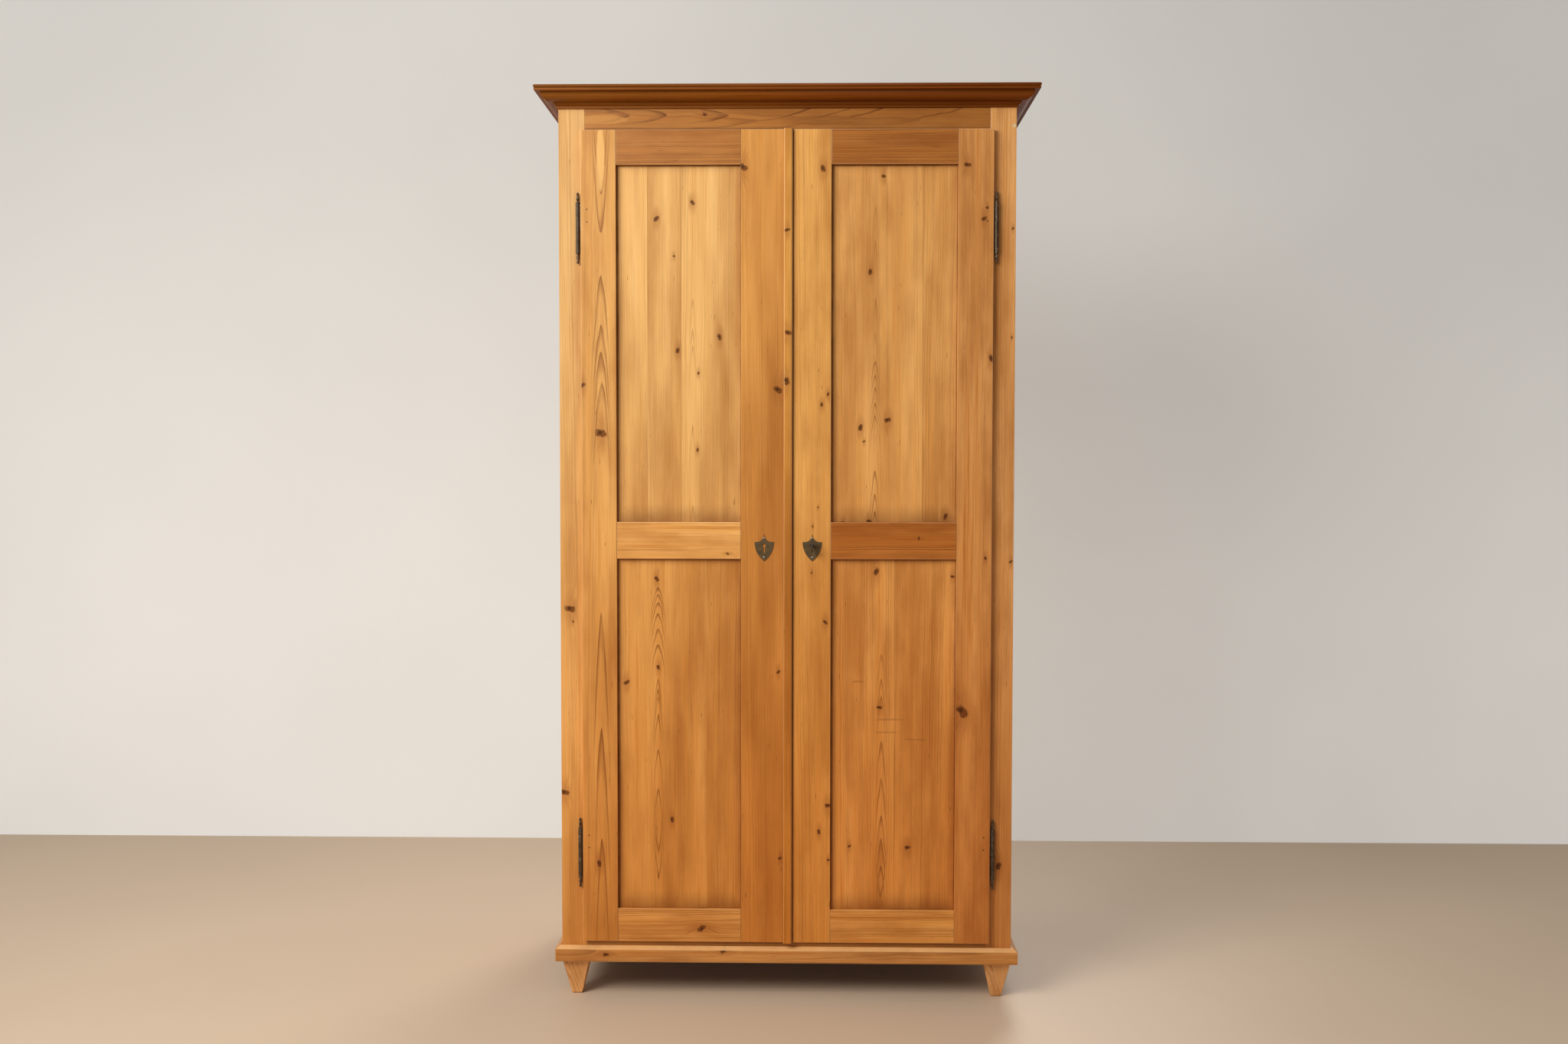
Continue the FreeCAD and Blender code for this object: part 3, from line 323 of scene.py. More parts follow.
def new_material(name):
    """An empty material with its shader, and the recipe that feeds it."""
    material = bpy.data.materials.new(name)
    material.use_nodes = True
    recipe = Recipe(material.node_tree)
    shader = material.node_tree.nodes["Principled BSDF"]
    return material, recipe, shader


def finish_with(node, material):
    """Puts a finish on a piece of the frame."""
    for slot in nodes[node].material_slots:
        slot.material = material


def arris_group():
    """Marks the long sharp edges of a board, and leaves the rims of its holes."""
    tree = bpy.data.node_groups.new("long_arrises", "GeometryNodeTree")
    for way in ("INPUT", "OUTPUT"):
        tree.interface.new_socket("Board", in_out=way, socket_type="NodeSocketGeometry")
    recipe = Recipe(tree)
    board = tree.nodes.new("NodeGroupInput").outputs["Board"]
    ends = recipe.step("GeometryNodeInputMeshEdgeVertices", {}).outputs
    both_ends = {0: ends["Position 1"], 1: ends["Position 2"]}
    run = recipe.step("ShaderNodeVectorMath", both_ends, operation="DISTANCE")
    bend = recipe.step("GeometryNodeInputMeshEdgeAngle", {}).outputs["Unsigned Angle"]
    longest_rim = 0.006
    bluntest_arris = math.radians(35)
    is_long = recipe.math("GREATER_THAN", run.outputs["Value"], longest_rim)
    is_sharp = recipe.math("GREATER_THAN", bend, bluntest_arris)
    marked = recipe.step(
        "GeometryNodeStoreNamedAttribute",
        {"Geometry": board, "Name": "bevel_weight_edge", "Value": recipe.product(is_long, is_sharp)},
        data_type="FLOAT",
        domain="EDGE",
    )
    recipe.feed(tree.nodes.new("NodeGroupOutput").inputs["Board"], marked.outputs["Geometry"])
    return tree


LONG_ARRISES = arris_group()


def eased_edges(node, width):
    """Takes the sharpness off a board's arrises, as planing and years of handling do."""
    piece = nodes[node]
    weld = piece.modifiers.new("joined_faces", "WELD")
    weld.merge_threshold = 0.00001
    flats = piece.modifiers.new("whole_flats", "DECIMATE")
    flats.decimate_type = "DISSOLVE"
    flats.angle_limit = math.radians(0.5)
    arrises = piece.modifiers.new("long_arrises", "NODES")
    arrises.node_group = LONG_ARRISES
    bevel = piece.modifiers.new("eased_edges", "BEVEL")
    bevel.width = width
    bevel.segments = 2
    bevel.limit_method = "WEIGHT"
    bevel.use_clamp_overlap = False


def flame_rings(recipe, along, across, flame):
    """How dark the rings of a flame are: sharp on the outside of each point, fading inwards."""
    shaky_along = recipe.product(along, 0.9 / abs(flame.drop))
    shaky_place = recipe.point(recipe.product(across, 42.0), shaky_along, flame.across)
    shaky_noise = recipe.noise(shaky_place, detail=3.0, output="Color")
    shaky = recipe.step("ShaderNodeSeparateXYZ", {0: shaky_noise}).outputs
    sideways = recipe.product(recipe.math("SUBTRACT", shaky[0], 0.5), 0.5)
    endways = recipe.product(recipe.math("SUBTRACT", shaky[1], 0.5), 0.35 * flame.drop)
    off_line = recipe.math("DIVIDE", recipe.math("SUBTRACT", across, flame.across), flame.half_width)
    side = recipe.math("ABSOLUTE", recipe.total(off_line, sideways))
    run = recipe.total(along, recipe.product(recipe.math("POWER", side, 1.7), flame.drop), endways)
    margin = 0.05
    start = min(flame.points) - margin
    span = max(flame.points) + margin - start
    share = recipe.math("DIVIDE", recipe.math("SUBTRACT", run, start), span)
    ramp = recipe.step("ShaderNodeValToRGB", {0: share})
    stops = ramp.color_ramp.elements
    stops[1].color = stops[0].color
    outward = math.copysign(1.0, flame.drop)
    sharp_side = 0.0022
    for point in flame.points:
        for offset, darkness in ((sharp_side * outward, 0.0), (0.0, 1.0), (-flame.depth * outward, 0.0)):
            stop = stops.new((point + offset - start) / span)
            stop.color = (darkness, darkness, darkness, 1.0)
    faded = recipe.fade(side, 0.7, 1.9, flame.strength, 0.0)
    broken = recipe.fade(shaky[2], 0.30, 0.55, 0.55, 1.0)
    return recipe.product(ramp.outputs[0], faded, broken)


def pine(node, grain, planks, flames=(), knots=(), ovals=(), scratches=(), dirt_and_shade=(), wood=WAXED_PINE,
         tone=(1.0, 1.0, 1.0), eased=0.0013, worn=0.0, bare=0):
    """Finishes a piece of pine.

    grain names the axes along the fibres, across the board and through it, and the planks lie side by side
    across. A knot is (across, along, radius). An oval, where the face lies in one pale ring, is (across,
    along, half width, half length). A scratch is (from across, to across, along). Each entry of the list of
    dirt and painted shade is (axis, edge, direction, width, strength): how far the dark band spreads from
    an edge, along, across or through the piece.
    worn is how far the wax has gone from the arrises. bare is 1 or -1 where the face at the high or low end
    of the depth was never waxed.
    """
    glue_brown = (0.090, 0.035, 0.012, 1.0)
    unwaxed_dark = (0.43, 0.26, 0.12, 1.0)
    unwaxed_pale = (0.62, 0.41, 0.21, 1.0)
    ring_lift = (1.05, 1.12, 1.20)
    depth_axis = "XYZ".index(grain[2])
    material, recipe, shader = new_material(node + "_pine")
    place = recipe.step("ShaderNodeTexCoord", {}).outputs["Object"]
    split = recipe.step("ShaderNodeSeparateXYZ", {0: place})
    along, across, depth = (split.outputs["XYZ".index(axis)] for axis in grain)
    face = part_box(node)[0][depth_axis]

    push, heart, core, halo = 0.0, 0.0, 0.0, 0.0
    for knot_across, knot_along, radius in knots:
        knot = recipe.group(PINE_KNOT, {
            "Along": along, "Across": across, "Radius": radius,
            "Knot Along": knot_along, "Knot Across": knot_across,
        })
        push = recipe.total(push, knot["Push"])
        heart = recipe.math("MAXIMUM", heart, knot["Heart"])
        core = recipe.math("MAXIMUM", core, knot["Core"])
        halo = recipe.math("MAXIMUM", halo, knot["Halo"])
    pale_ring = 0.0
    for oval_across, oval_along, half_width, half_length in ovals:
        side = recipe.math("DIVIDE", recipe.math("SUBTRACT", across, oval_across), half_width)
        up = recipe.math("DIVIDE", recipe.math("SUBTRACT", along, oval_along), half_length)
        ragged = recipe.product(recipe.off_noise(place, scale=60.0), 0.25)
        reach = recipe.total(recipe.length(side, up), ragged)
        pale_ring = recipe.math("MAXIMUM", pale_ring, recipe.fade(reach, 0.84, 1.02, 0.60, 0.0))

    pointed = 0.0
    for flame in flames:
        pointed = recipe.math("MAXIMUM", pointed, flame_rings(recipe, along, across, flame))

    # Dark bands spread from edges: dirt in some places, painted shade or painted shadow in others.
    soiling_and_shade = 0.0
    patchy = recipe.fade(recipe.noise(place, scale=24.0, detail=3.0), 0.30, 0.70, 0.70, 1.0)
    for axis, edge, direction, width, strength in dirt_and_shade:
        value = {"along": along, "across": across, "depth": depth}[axis]
        gap = recipe.product(recipe.math("SUBTRACT", value, edge), direction)
        dark_band = recipe.product(recipe.fade(gap, 0.0, width, strength, 0.0), patchy)
        soiling_and_shade = recipe.math("MAXIMUM", soiling_and_shade, dark_band)
    shaky = recipe.product(recipe.off_noise(place, scale=45.0, detail=2.0), 0.005)
    for scratch_from, scratch_to, scratch_along in scratches:
        middle = (scratch_from + scratch_to) / 2
        reach = abs(scratch_to - scratch_from) / 2
        off_middle = recipe.math("ABSOLUTE", recipe.math("SUBTRACT", across, middle))
        ends = recipe.fade(off_middle, 0.4 * reach, reach, 0.30, 0.0)
        off_along = recipe.math("SUBTRACT", along, scratch_along)
        off_line = recipe.math("ABSOLUTE", recipe.total(off_along, shaky))
        line = recipe.fade(off_line, 0.0006, 0.0032, 1.0, 0.0)
        soiling_and_shade = recipe.math("MAXIMUM", soiling_and_shade, recipe.product(line, ends, patchy))

    facing = recipe.step("ShaderNodeNewGeometry", {}).outputs["True Normal"]
    own_way = {"vector_type": "NORMAL", "convert_to": "OBJECT"}
    facing = recipe.step("ShaderNodeVectorTransform", {0: facing}, **own_way)
    squareness = recipe.step("ShaderNodeVectorMath", {0: facing.outputs[0]}, operation="ABSOLUTE")
    turned = recipe.step("ShaderNodeSeparateXYZ", {0: squareness.outputs[0]}).outputs
    squarest = recipe.math("MAXIMUM", recipe.math("MAXIMUM", turned[0], turned[1]), turned[2])
    wear = recipe.product(recipe.fade(squarest, 0.94, 0.985, worn, 0.0), patchy)

    colour = rough = height = lower_plank = None
    for plank in planks:
        figure = recipe.group(PINE_GRAIN, {
            "Along": along, "Across": across, "Depth": depth, "Push": push, "Seed": plank.seed,
            "Pith Across": plank.pith, "Pith Depth": face + plank.behind,
            "Taper": plank.taper, "Ring": plank.ring, "Sway": plank.sway,
        })
        latewood = recipe.product(figure["Latewood"], plank.contrast)
        look = recipe.group(PINE_COLOUR, {
            **{key: figure[key] for key in ("Streak", "Fibre", "Broad", "Mottle", "Resin")},
            "Latewood": recipe.math("MAXIMUM", latewood, pointed), "Figure": plank.figure,
            "Heart": heart, "Core": core, "Halo": halo, "Dirt And Shade": soiling_and_shade, "Wear": wear,
            **{part.capitalize(): toned(wood[part], tone, plank.tone) for part in ("pale", "deep", "late")},
        })
        if lower_plank is None:
            colour, rough, height = look["Colour"], look["Rough"], look["Height"]
        else:
            off_seam = recipe.math("SUBTRACT", across, lower_plank.edge)
            beyond = recipe.math("GREATER_THAN", off_seam, 0.0)
            seam = recipe.fade(recipe.math("ABSOLUTE", off_seam), 0.0002, 0.0010, lower_plank.seam, 0.0)
            colour = recipe.mix(seam, recipe.mix(beyond, colour, look["Colour"]), glue_brown)
        lower_plank = plank
    # Painted light and shade: the colour runs from foot to head along one axis, as the light falls off
    # along it.
    axis, start, end = wood["tint_and_shade"]
    level = recipe.fade(split.outputs["XYZ".index(axis)], start, end)
    painted_light_fall = recipe.mix(level, (*wood["foot"], 1.0), (*wood["head"], 1.0))
    colour = recipe.mix(pale_ring, colour, toned(wood["pale"], tone, ring_lift))
    colour = recipe.mix(1.0, colour, painted_light_fall, blend="MULTIPLY")
    if bare:
        bare_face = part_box(node)[(1 + bare) // 2][depth_axis]
        off_face = recipe.product(recipe.math("SUBTRACT", depth, bare_face), -bare)
        unwaxed = recipe.fade(off_face, 0.0004, 0.0016, 0.70, 0.0)
        colour = recipe.mix(unwaxed, colour, recipe.mix(figure["Streak"], unwaxed_dark, unwaxed_pale))
    bump = recipe.step("ShaderNodeBump", {"Strength": 0.35, "Distance": 0.0004, "Height": height})
    recipe.feed(shader.inputs["Base Color"], colour)
    recipe.feed(shader.inputs["Roughness"], rough)
    recipe.feed(shader.inputs["Normal"], bump.outputs[0])
    shader.inputs["Specular IOR Level"].default_value = wood["shine"]
    finish_with(node, material)
    if eased:
        eased_edges(node, eased)


SIDE_TONE = (0.95, 0.88, 0.78)
pine("left_side", "ZYX",
     [Plank(1.3, -0.10, ring=0.0040, edge=-0.02, figure=0.9),
      Plank(2.9, 0.14, taper=-0.01, ring=0.0045, figure=0.9)],
     tone=SIDE_TONE, bare=1)
pine("right_side", "ZYX",
     [Plank(4.7, -0.05, ring=0.0040, edge=0.05, figure=0.9),
      Plank(6.1, 0.17, ring=0.0036, figure=0.9)],
     tone=SIDE_TONE, bare=-1)


# Top and bottom boards
# Plain pine boards; the bottom one is housed in the sides, and the top one lies on them inside the cornice.
# They were never waxed, so they have stayed paler than the outside.
BARE_PINE = dict(pale=(0.640, 0.420, 0.210), deep=(0.500, 0.300, 0.130), late=(0.320, 0.150, 0.050),
                 tint_and_shade=("Z", 0.2, 1.5), foot=(1.0, 1.0, 1.0), head=(1.0, 1.0, 1.0), shine=0.08)
BOARD_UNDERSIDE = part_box("bottom_board")[0].z
# Its underside is painted dark brown, as painted shade under the carcase.
pine("bottom_board", "XYZ", [Plank(8.3, -0.06, edge=0.0), Plank(9.9, 0.13, taper=-0.01)], wood=BARE_PINE,
     dirt_and_shade=[("depth", BOARD_UNDERSIDE, 1, 0.010, 0.95)])
pine("top_board", "XYZ", [Plank(11.3, -0.08, edge=0.0), Plank(12.9, 0.12, taper=-0.01)], wood=BARE_PINE)


# Back boards
# Six thin rough boards fixed upright to the back of the carcase, each lapped by half its thickness.
# Bare on both faces, each with its own tone.
BACK_EDGES = (-0.307, -0.1535, 0.0, 0.1535, 0.307, 0.47)
BACK_TONES = (0.96, 1.04, 0.90, 1.02, 0.94, 1.00)
back_planks = []
for number, (edge, tone) in enumerate(zip(BACK_EDGES, BACK_TONES)):
    pith = edge - 0.07 + 0.02 * (number % 3)
    taper = 0.020 if number % 2 else -0.016
    back_planks.append(Plank(14.0 + 3.1 * number, pith, taper=taper, ring=0.0042, contrast=0.65,
                             tone=(tone, tone, tone), edge=edge, seam=0.0))
pine("back_boards", "ZXY", back_planks, wood=BARE_PINE,
     knots=[(-0.40, 1.32, 0.009), (-0.21, 0.62, 0.011), (-0.06, 1.58, 0.008),
            (0.10, 0.95, 0.010), (0.24, 1.45, 0.009), (0.36, 0.40, 0.010)])


# Face frame
# Two stiles and two rails of waxed pine make the front of the carcase, the top rail let in between the two.
# One pale round peg near the top of the right stile pins that joint, and hands have rubbed the arrises.
# The left stile is painted in much the same colour over its height, and the right one darker towards its
# foot, as painted shade.
HANDLED = 0.28
DOOR_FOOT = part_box("left_hinge_stile")[0].z
DOOR_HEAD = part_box("left_hinge_stile")[1].z
LEFT_STILE_PINE = dict(WAXED_PINE, foot=(1.07, 0.98, 0.93), head=(0.91, 1.04, 1.36))
# Painted shade: the right stile is darker towards its foot.
SHADED_FOOT_PINE = dict(WAXED_PINE, foot=(0.78, 0.66, 0.56), head=(1.06, 1.20, 1.48))
pine("frame_left_stile", "ZXY", [Plank(33.1, -0.56, behind=0.02, figure=1.0)], wood=LEFT_STILE_PINE,
     knots=[(-0.453, 0.823, 0.0075), (-0.466, 0.435, 0.0062), (-0.447, 0.796, 0.0022)],
     worn=HANDLED, tone=(1.06, 1.05, 0.93))
pine("frame_right_stile", "ZXY", [Plank(35.7, 0.56, behind=0.02, figure=1.7)], wood=SHADED_FOOT_PINE,
     knots=[(0.446, 0.284, 0.0062), (0.467, 0.924, 0.0030), (0.467, 1.613, 0.0024), (0.466, 1.389, 0.0020)],
     worn=HANDLED, tone=(1.04, 0.92, 0.85))
# The dark band just above the door heads is partly dirt and partly painted shade of the gap there.
pine("frame_top_rail", "XZY",
     [Plank(37.9, 1.834, behind=0.014, taper=0.032, ring=0.0065, sway=0.022, contrast=0.40)],
     flames=[Flame(1.846, (-0.325, -0.246, -0.122), 0.011, 0.035, depth=0.030),
             Flame(1.862, (0.049, 0.136, 0.200, 0.363), 0.022, 0.075, strength=1.0, depth=0.014)],
     knots=[(1.848, -0.170, 0.0040)], ovals=[(1.838, -0.385, 0.0100, 0.060)],
     dirt_and_shade=[("across", DOOR_HEAD, 1, 0.0085, 0.95)], tone=(0.63, 0.46, 0.26))
# The dark band just below the door feet is partly dirt and partly painted shadow of the proud doors.
pine("frame_bottom_rail", "XZY", [Plank(39.3, 0.20, behind=0.02)],
     dirt_and_shade=[("across", DOOR_FOOT, -1, 0.0100, 0.80)], tone=(0.93, 1.01, 1.02))
PEG_WOOD = dict(BARE_PINE, pale=(0.760, 0.560, 0.300), deep=(0.640, 0.430, 0.210),
                late=(0.400, 0.220, 0.090))
pine("frame_peg", "YXZ", [Plank(41.7, 0.463, behind=0.003, ring=0.0012, sway=0.001)],
     wood=PEG_WOOD, eased=0.0004)


# Cornice
# A moulding runs round the top in three lengths, mitred at the front corners and glued to frame and sides.
# The wax on it has gone a dark red brown.
# It is painted lighter towards its left end and darker towards its right: painted light and shade, as the
# light comes from the left.
DARK_PINE = dict(pale=(0.240, 0.068, 0.006), deep=(0.160, 0.041, 0.003), late=(0.075, 0.017, 0.002),
                 tint_and_shade=("X", -0.5, 0.3), foot=(1.28, 1.50, 2.30), head=(0.92, 0.84, 0.70), shine=0.10)
CORNICE_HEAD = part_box("cornice_front")[1].z
cornice_dirt = [("across", CORNICE_HEAD, -1, 0.018, 0.58)]
for length, grain, seed in (("front", "XZY", 43.3), ("left", "YZX", 45.1), ("right", "YZX", 47.9)):
    pine(f"cornice_{length}", grain, [Plank(seed, 2.00, behind=0.03, ring=0.0040, contrast=0.55)],
         dirt_and_shade=cornice_dirt, wood=DARK_PINE, eased=0.0006)


# Plinth
# A flat moulding with a chamfered top edge runs round the foot of the carcase in three lengths.
# It is knocked by brooms and shoes, so its lower edge is dirty and its front arrises are worn bare.
# The pale of its chamfered top is partly wear and partly a painted highlight.
PLINTH_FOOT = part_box("plinth_front")[0].z
PLINTH_TONE = (0.88, 0.87, 0.92)
plinth_dirt = [("across", PLINTH_FOOT, 1, 0.004, 0.45)]
pine("plinth_front", "XZY",
     [Plank(49.1, 0.10, behind=0.012, taper=0.02, ring=0.0045, sway=0.016, figure=2.2)],
     knots=[(0.104, -0.131, 0.0060), (0.094, -0.379, 0.0045)],
     dirt_and_shade=plinth_dirt, worn=0.80, tone=PLINTH_TONE)
for length, seed in (("left", 51.7), ("right", 53.3)):
    pine(f"plinth_{length}", "YZX", [Plank(seed, 0.20, behind=0.02)], dirt_and_shade=plinth_dirt,
         worn=HANDLED, tone=PLINTH_TONE)


# Feet
# Four short square legs, tapered on all sides, each with a block that is glued under the bottom board.
# The grain stands upright and the ends are dark from floor wax.
FLOOR_LEVEL = 0.0
BACK_FOOT_TONE = (1.07, 1.32, 2.10)
for corner, seed, pith, tone in (
    ("front_left", 55.9, -0.49, (1.36, 1.64, 2.53)),
    ("front_right", 57.3, 0.40, (1.30, 1.57, 2.42)),
    ("back_left", 59.1, -0.40, BACK_FOOT_TONE),
    ("back_right", 61.7, 0.49, BACK_FOOT_TONE),
):
    pine(f"foot_{corner}", "ZXY", [Plank(seed, pith, behind=0.06)],
         dirt_and_shade=[("along", FLOOR_LEVEL, 1, 0.006, 0.50)], tone=tone)


# Hat shelf and clothes rail
# A shelf lies on two cleats fixed to the sides, and a turned rail below it is held in two round sockets.
# All of it is bare pine that was never waxed.
pine("hat_shelf", "XYZ", [Plank(63.1, -0.05, edge=0.02), Plank(65.3, 0.12, taper=-0.01)], wood=BARE_PINE)
pine("shelf_cleats", "YZX", [Plank(67.7, 1.40)], wood=BARE_PINE)
pine("rail_sockets", "YZX", [Plank(69.1, 1.40)], wood=BARE_PINE)
pine("clothes_rail", "XZY", [Plank(71.3, 1.48, behind=0.02)], wood=BARE_PINE, eased=None)


# Left door
# Two stiles and three rails are mortised together round two flat panels, which lie loose in grooves.
# Hands have rubbed the arrises, and dirt has gathered where rail meets stile. Where panel meets frame,
# the dark lines are partly dirt and partly painted shadow of the proud stiles and rails.
TOP_RAIL_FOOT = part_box("left_top_rail")[0].z
LOCK_RAIL_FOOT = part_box("left_lock_rail")[0].z
LOCK_RAIL_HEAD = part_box("left_lock_rail")[1].z
BOTTOM_RAIL_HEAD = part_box("left_bottom_rail")[1].z
LEFT_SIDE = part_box("left_hinge_stile")[1].x
LEFT_FREE_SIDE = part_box("left_meeting_stile")[0].x


def panel_dirt_and_shadow(left, right, foot, head):
    """Dark lines where a panel runs into its grooves, partly dirt and partly painted shadow of the proud
    stiles and rails, and smudges that dusting never reaches.
    """
    return [
        ("across", left, 1, 0.0085, 0.95), ("across", left, 1, 0.0260, 0.28),
        ("across", right, -1, 0.0045, 0.88), ("across", right, -1, 0.0200, 0.25),
        ("along", foot, 1, 0.0035, 0.75), ("along", foot, 1, 0.0420, 0.48),
        ("along", head, -1, 0.0050, 0.85), ("along", head, -1, 0.0220, 0.20),
    ]


def joint_dirt(left, right):
    """Thin dark lines where a rail's shoulders meet the stiles."""
    return [("along", left, 1, 0.0018, 0.70), ("along", right, -1, 0.0018, 0.70)]


left_joints = joint_dirt(LEFT_SIDE, LEFT_FREE_SIDE)
pine("left_hinge_stile", "ZXY", [Plank(73.9, -0.30, behind=0.030, contrast=0.30)],
     flames=[Flame(-0.384, (1.687, 1.605), 0.013, -0.11, depth=0.040),
             Flame(-0.384, (1.512, 1.417, 1.358, 1.295), 0.013, 0.10, depth=0.042),
             Flame(-0.386, (0.815, 0.572, 0.333), 0.012, 0.16, depth=0.090)],
     knots=[(-0.385, 1.190, 0.0088), (-0.392, 0.287, 0.0055), (-0.4235, 1.289, 0.0050)],
     ovals=[(-0.384, 1.755, 0.0090, 0.070)], worn=HANDLED, tone=(1.03, 0.96, 0.78))
pine("left_meeting_stile", "ZXY", [Plank(75.1, -0.20, behind=0.03, figure=0.75)],
     knots=[(-0.089, 1.737, 0.0070), (-0.017, 1.280, 0.0072), (-0.016, 0.693, 0.0032),
            (-0.012, 0.301, 0.0033)],
     worn=HANDLED, tone=(0.91, 0.73, 0.46))
pine("left_top_rail", "XZY", [Plank(79.3, 1.88, behind=0.03, ring=0.0030, contrast=1.2, figure=1.6)],
     dirt_and_shade=left_joints, worn=HANDLED, tone=(0.68, 0.50, 0.33))
pine("left_lock_rail", "XZY", [Plank(81.1, 1.10, behind=0.03, ring=0.0042, contrast=0.75, figure=2.0)],
     knots=[(0.940, -0.122, 0.0024)], dirt_and_shade=left_joints, worn=HANDLED, tone=(1.17, 1.13, 0.99))
pine("left_bottom_rail", "XZY", [Plank(83.9, 0.26, behind=0.03, ring=0.0042, contrast=1.1, figure=2.0)],
     knots=[(0.151, -0.177, 0.0066)], dirt_and_shade=left_joints, worn=HANDLED, tone=(1.14, 1.15, 1.11))
pine("left_upper_panel", "ZXY",
     [Plank(85.3, -0.42, behind=0.02, edge=-0.289, seam=0.08, figure=0.9),
      Plank(87.1, -0.40, behind=0.03, edge=-0.219, seam=0.35, figure=0.9),
      Plank(89.9, 0.05, behind=0.030, figure=0.9)],
     flames=[Flame(-0.195, (1.468, 1.406, 1.372, 1.206, 1.040), 0.006, 0.06, strength=0.55, depth=0.018)],
     knots=[(-0.270, 1.634, 0.0050), (-0.195, 1.667, 0.0045), (-0.226, 1.362, 0.0043),
            (-0.139, 1.390, 0.0050), (-0.183, 1.315, 0.0026), (-0.185, 1.156, 0.0030),
            (-0.2335, 1.557, 0.0022)],
     dirt_and_shade=panel_dirt_and_shadow(LEFT_SIDE, LEFT_FREE_SIDE, LOCK_RAIL_HEAD, TOP_RAIL_FOOT), tone=(1.06, 1.05, 0.96))
pine("left_lower_panel", "ZXY",
     [Plank(91.3, -0.45, behind=0.030, contrast=0.25, edge=-0.166, seam=0.05),
      Plank(93.1, -0.05, behind=0.02, contrast=0.60)],
     flames=[Flame(-0.268, (0.868, 0.853, 0.837, 0.813, 0.780, 0.747), 0.0105, 0.030, depth=0.009),
             Flame(-0.268, (0.678, 0.656, 0.640, 0.601, 0.528, 0.445), 0.0070, 0.050, depth=0.014),
             Flame(-0.268, (0.308, 0.255), 0.0080, -0.060, depth=0.018)],
     knots=[(-0.271, 0.887, 0.0045), (-0.334, 0.669, 0.0048), (-0.268, 0.701, 0.0040),
            (-0.239, 0.379, 0.0043)],
     dirt_and_shade=panel_dirt_and_shadow(LEFT_SIDE, LEFT_FREE_SIDE, BOTTOM_RAIL_HEAD, LOCK_RAIL_FOOT), tone=(0.99, 0.90, 0.70))


# Right door
# Made as the left one, but its meeting stile is narrower and carries the lock.
# Its rails were cut from redder wood.
RIGHT_FREE_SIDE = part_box("right_meeting_stile")[1].x
RIGHT_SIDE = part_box("right_hinge_stile")[0].x
right_joints = joint_dirt(RIGHT_FREE_SIDE, RIGHT_SIDE)
pine("right_meeting_stile", "ZXY", [Plank(95.7, -0.08, behind=0.03)],
     knots=[(0.075, 1.734, 0.0056), (0.073, 1.250, 0.0036), (0.086, 1.271, 0.0030), (0.081, 0.798, 0.0044),
            (0.088, 0.413, 0.0050), (0.069, 0.357, 0.0040), (0.089, 0.298, 0.0024), (0.055, 0.997, 0.0018),
            (0.066, 1.037, 0.0016), (0.053, 0.901, 0.0018)],
     worn=HANDLED, tone=(1.11, 1.01, 0.75))
pine("right_hinge_stile", "ZXY", [Plank(97.1, 0.50, behind=0.02, figure=1.9)],
     knots=[(0.371, 1.741, 0.0052), (0.406, 1.631, 0.0044), (0.412, 1.654, 0.0024), (0.423, 1.344, 0.0058),
            (0.366, 0.613, 0.0105), (0.413, 0.932, 0.0032)],
     worn=HANDLED, tone=(0.92, 0.75, 0.61))
pine("right_top_rail", "XZY", [Plank(99.3, 1.88, behind=0.03, ring=0.0030, contrast=1.2, figure=1.6)],
     dirt_and_shade=right_joints, worn=HANDLED, tone=(0.60, 0.39, 0.20))
pine("right_lock_rail", "XZY", [Plank(101.9, 1.08, behind=0.03, ring=0.0034, contrast=1.2, figure=1.9)],
     knots=[(0.973, 0.275, 0.0028)], dirt_and_shade=right_joints, worn=HANDLED, tone=(0.65, 0.40, 0.19))
pine("right_bottom_rail", "XZY", [Plank(103.1, 0.26, behind=0.03, ring=0.0034, contrast=1.2, figure=1.9)],
     dirt_and_shade=right_joints, worn=HANDLED, tone=(1.11, 1.09, 0.98))
pine("right_upper_panel", "ZXY",
     [Plank(105.7, 0.05, behind=0.030, contrast=0.35, edge=0.282, seam=0.30),
      Plank(107.3, 0.42, behind=0.02)],
     flames=[Flame(0.184, (1.660, 1.590, 1.470, 1.400), 0.0050, 0.070, strength=0.55, depth=0.022),
             Flame(0.184, (1.338, 1.310, 1.282, 1.254, 1.226), 0.0080, 0.040, depth=0.009),
             Flame(0.184, (1.113, 1.066, 1.030), 0.0070, 0.050, depth=0.016)],
     knots=[(0.200, 1.720, 0.0038), (0.173, 1.524, 0.0048), (0.210, 1.218, 0.0052), (0.154, 1.202, 0.0050),
            (0.331, 1.018, 0.0048), (0.172, 1.008, 0.0040), (0.118, 1.005, 0.0030), (0.161, 1.174, 0.0022)],
     dirt_and_shade=panel_dirt_and_shadow(RIGHT_FREE_SIDE, RIGHT_SIDE, LOCK_RAIL_HEAD, TOP_RAIL_FOOT), tone=(1.04, 0.93, 0.76))
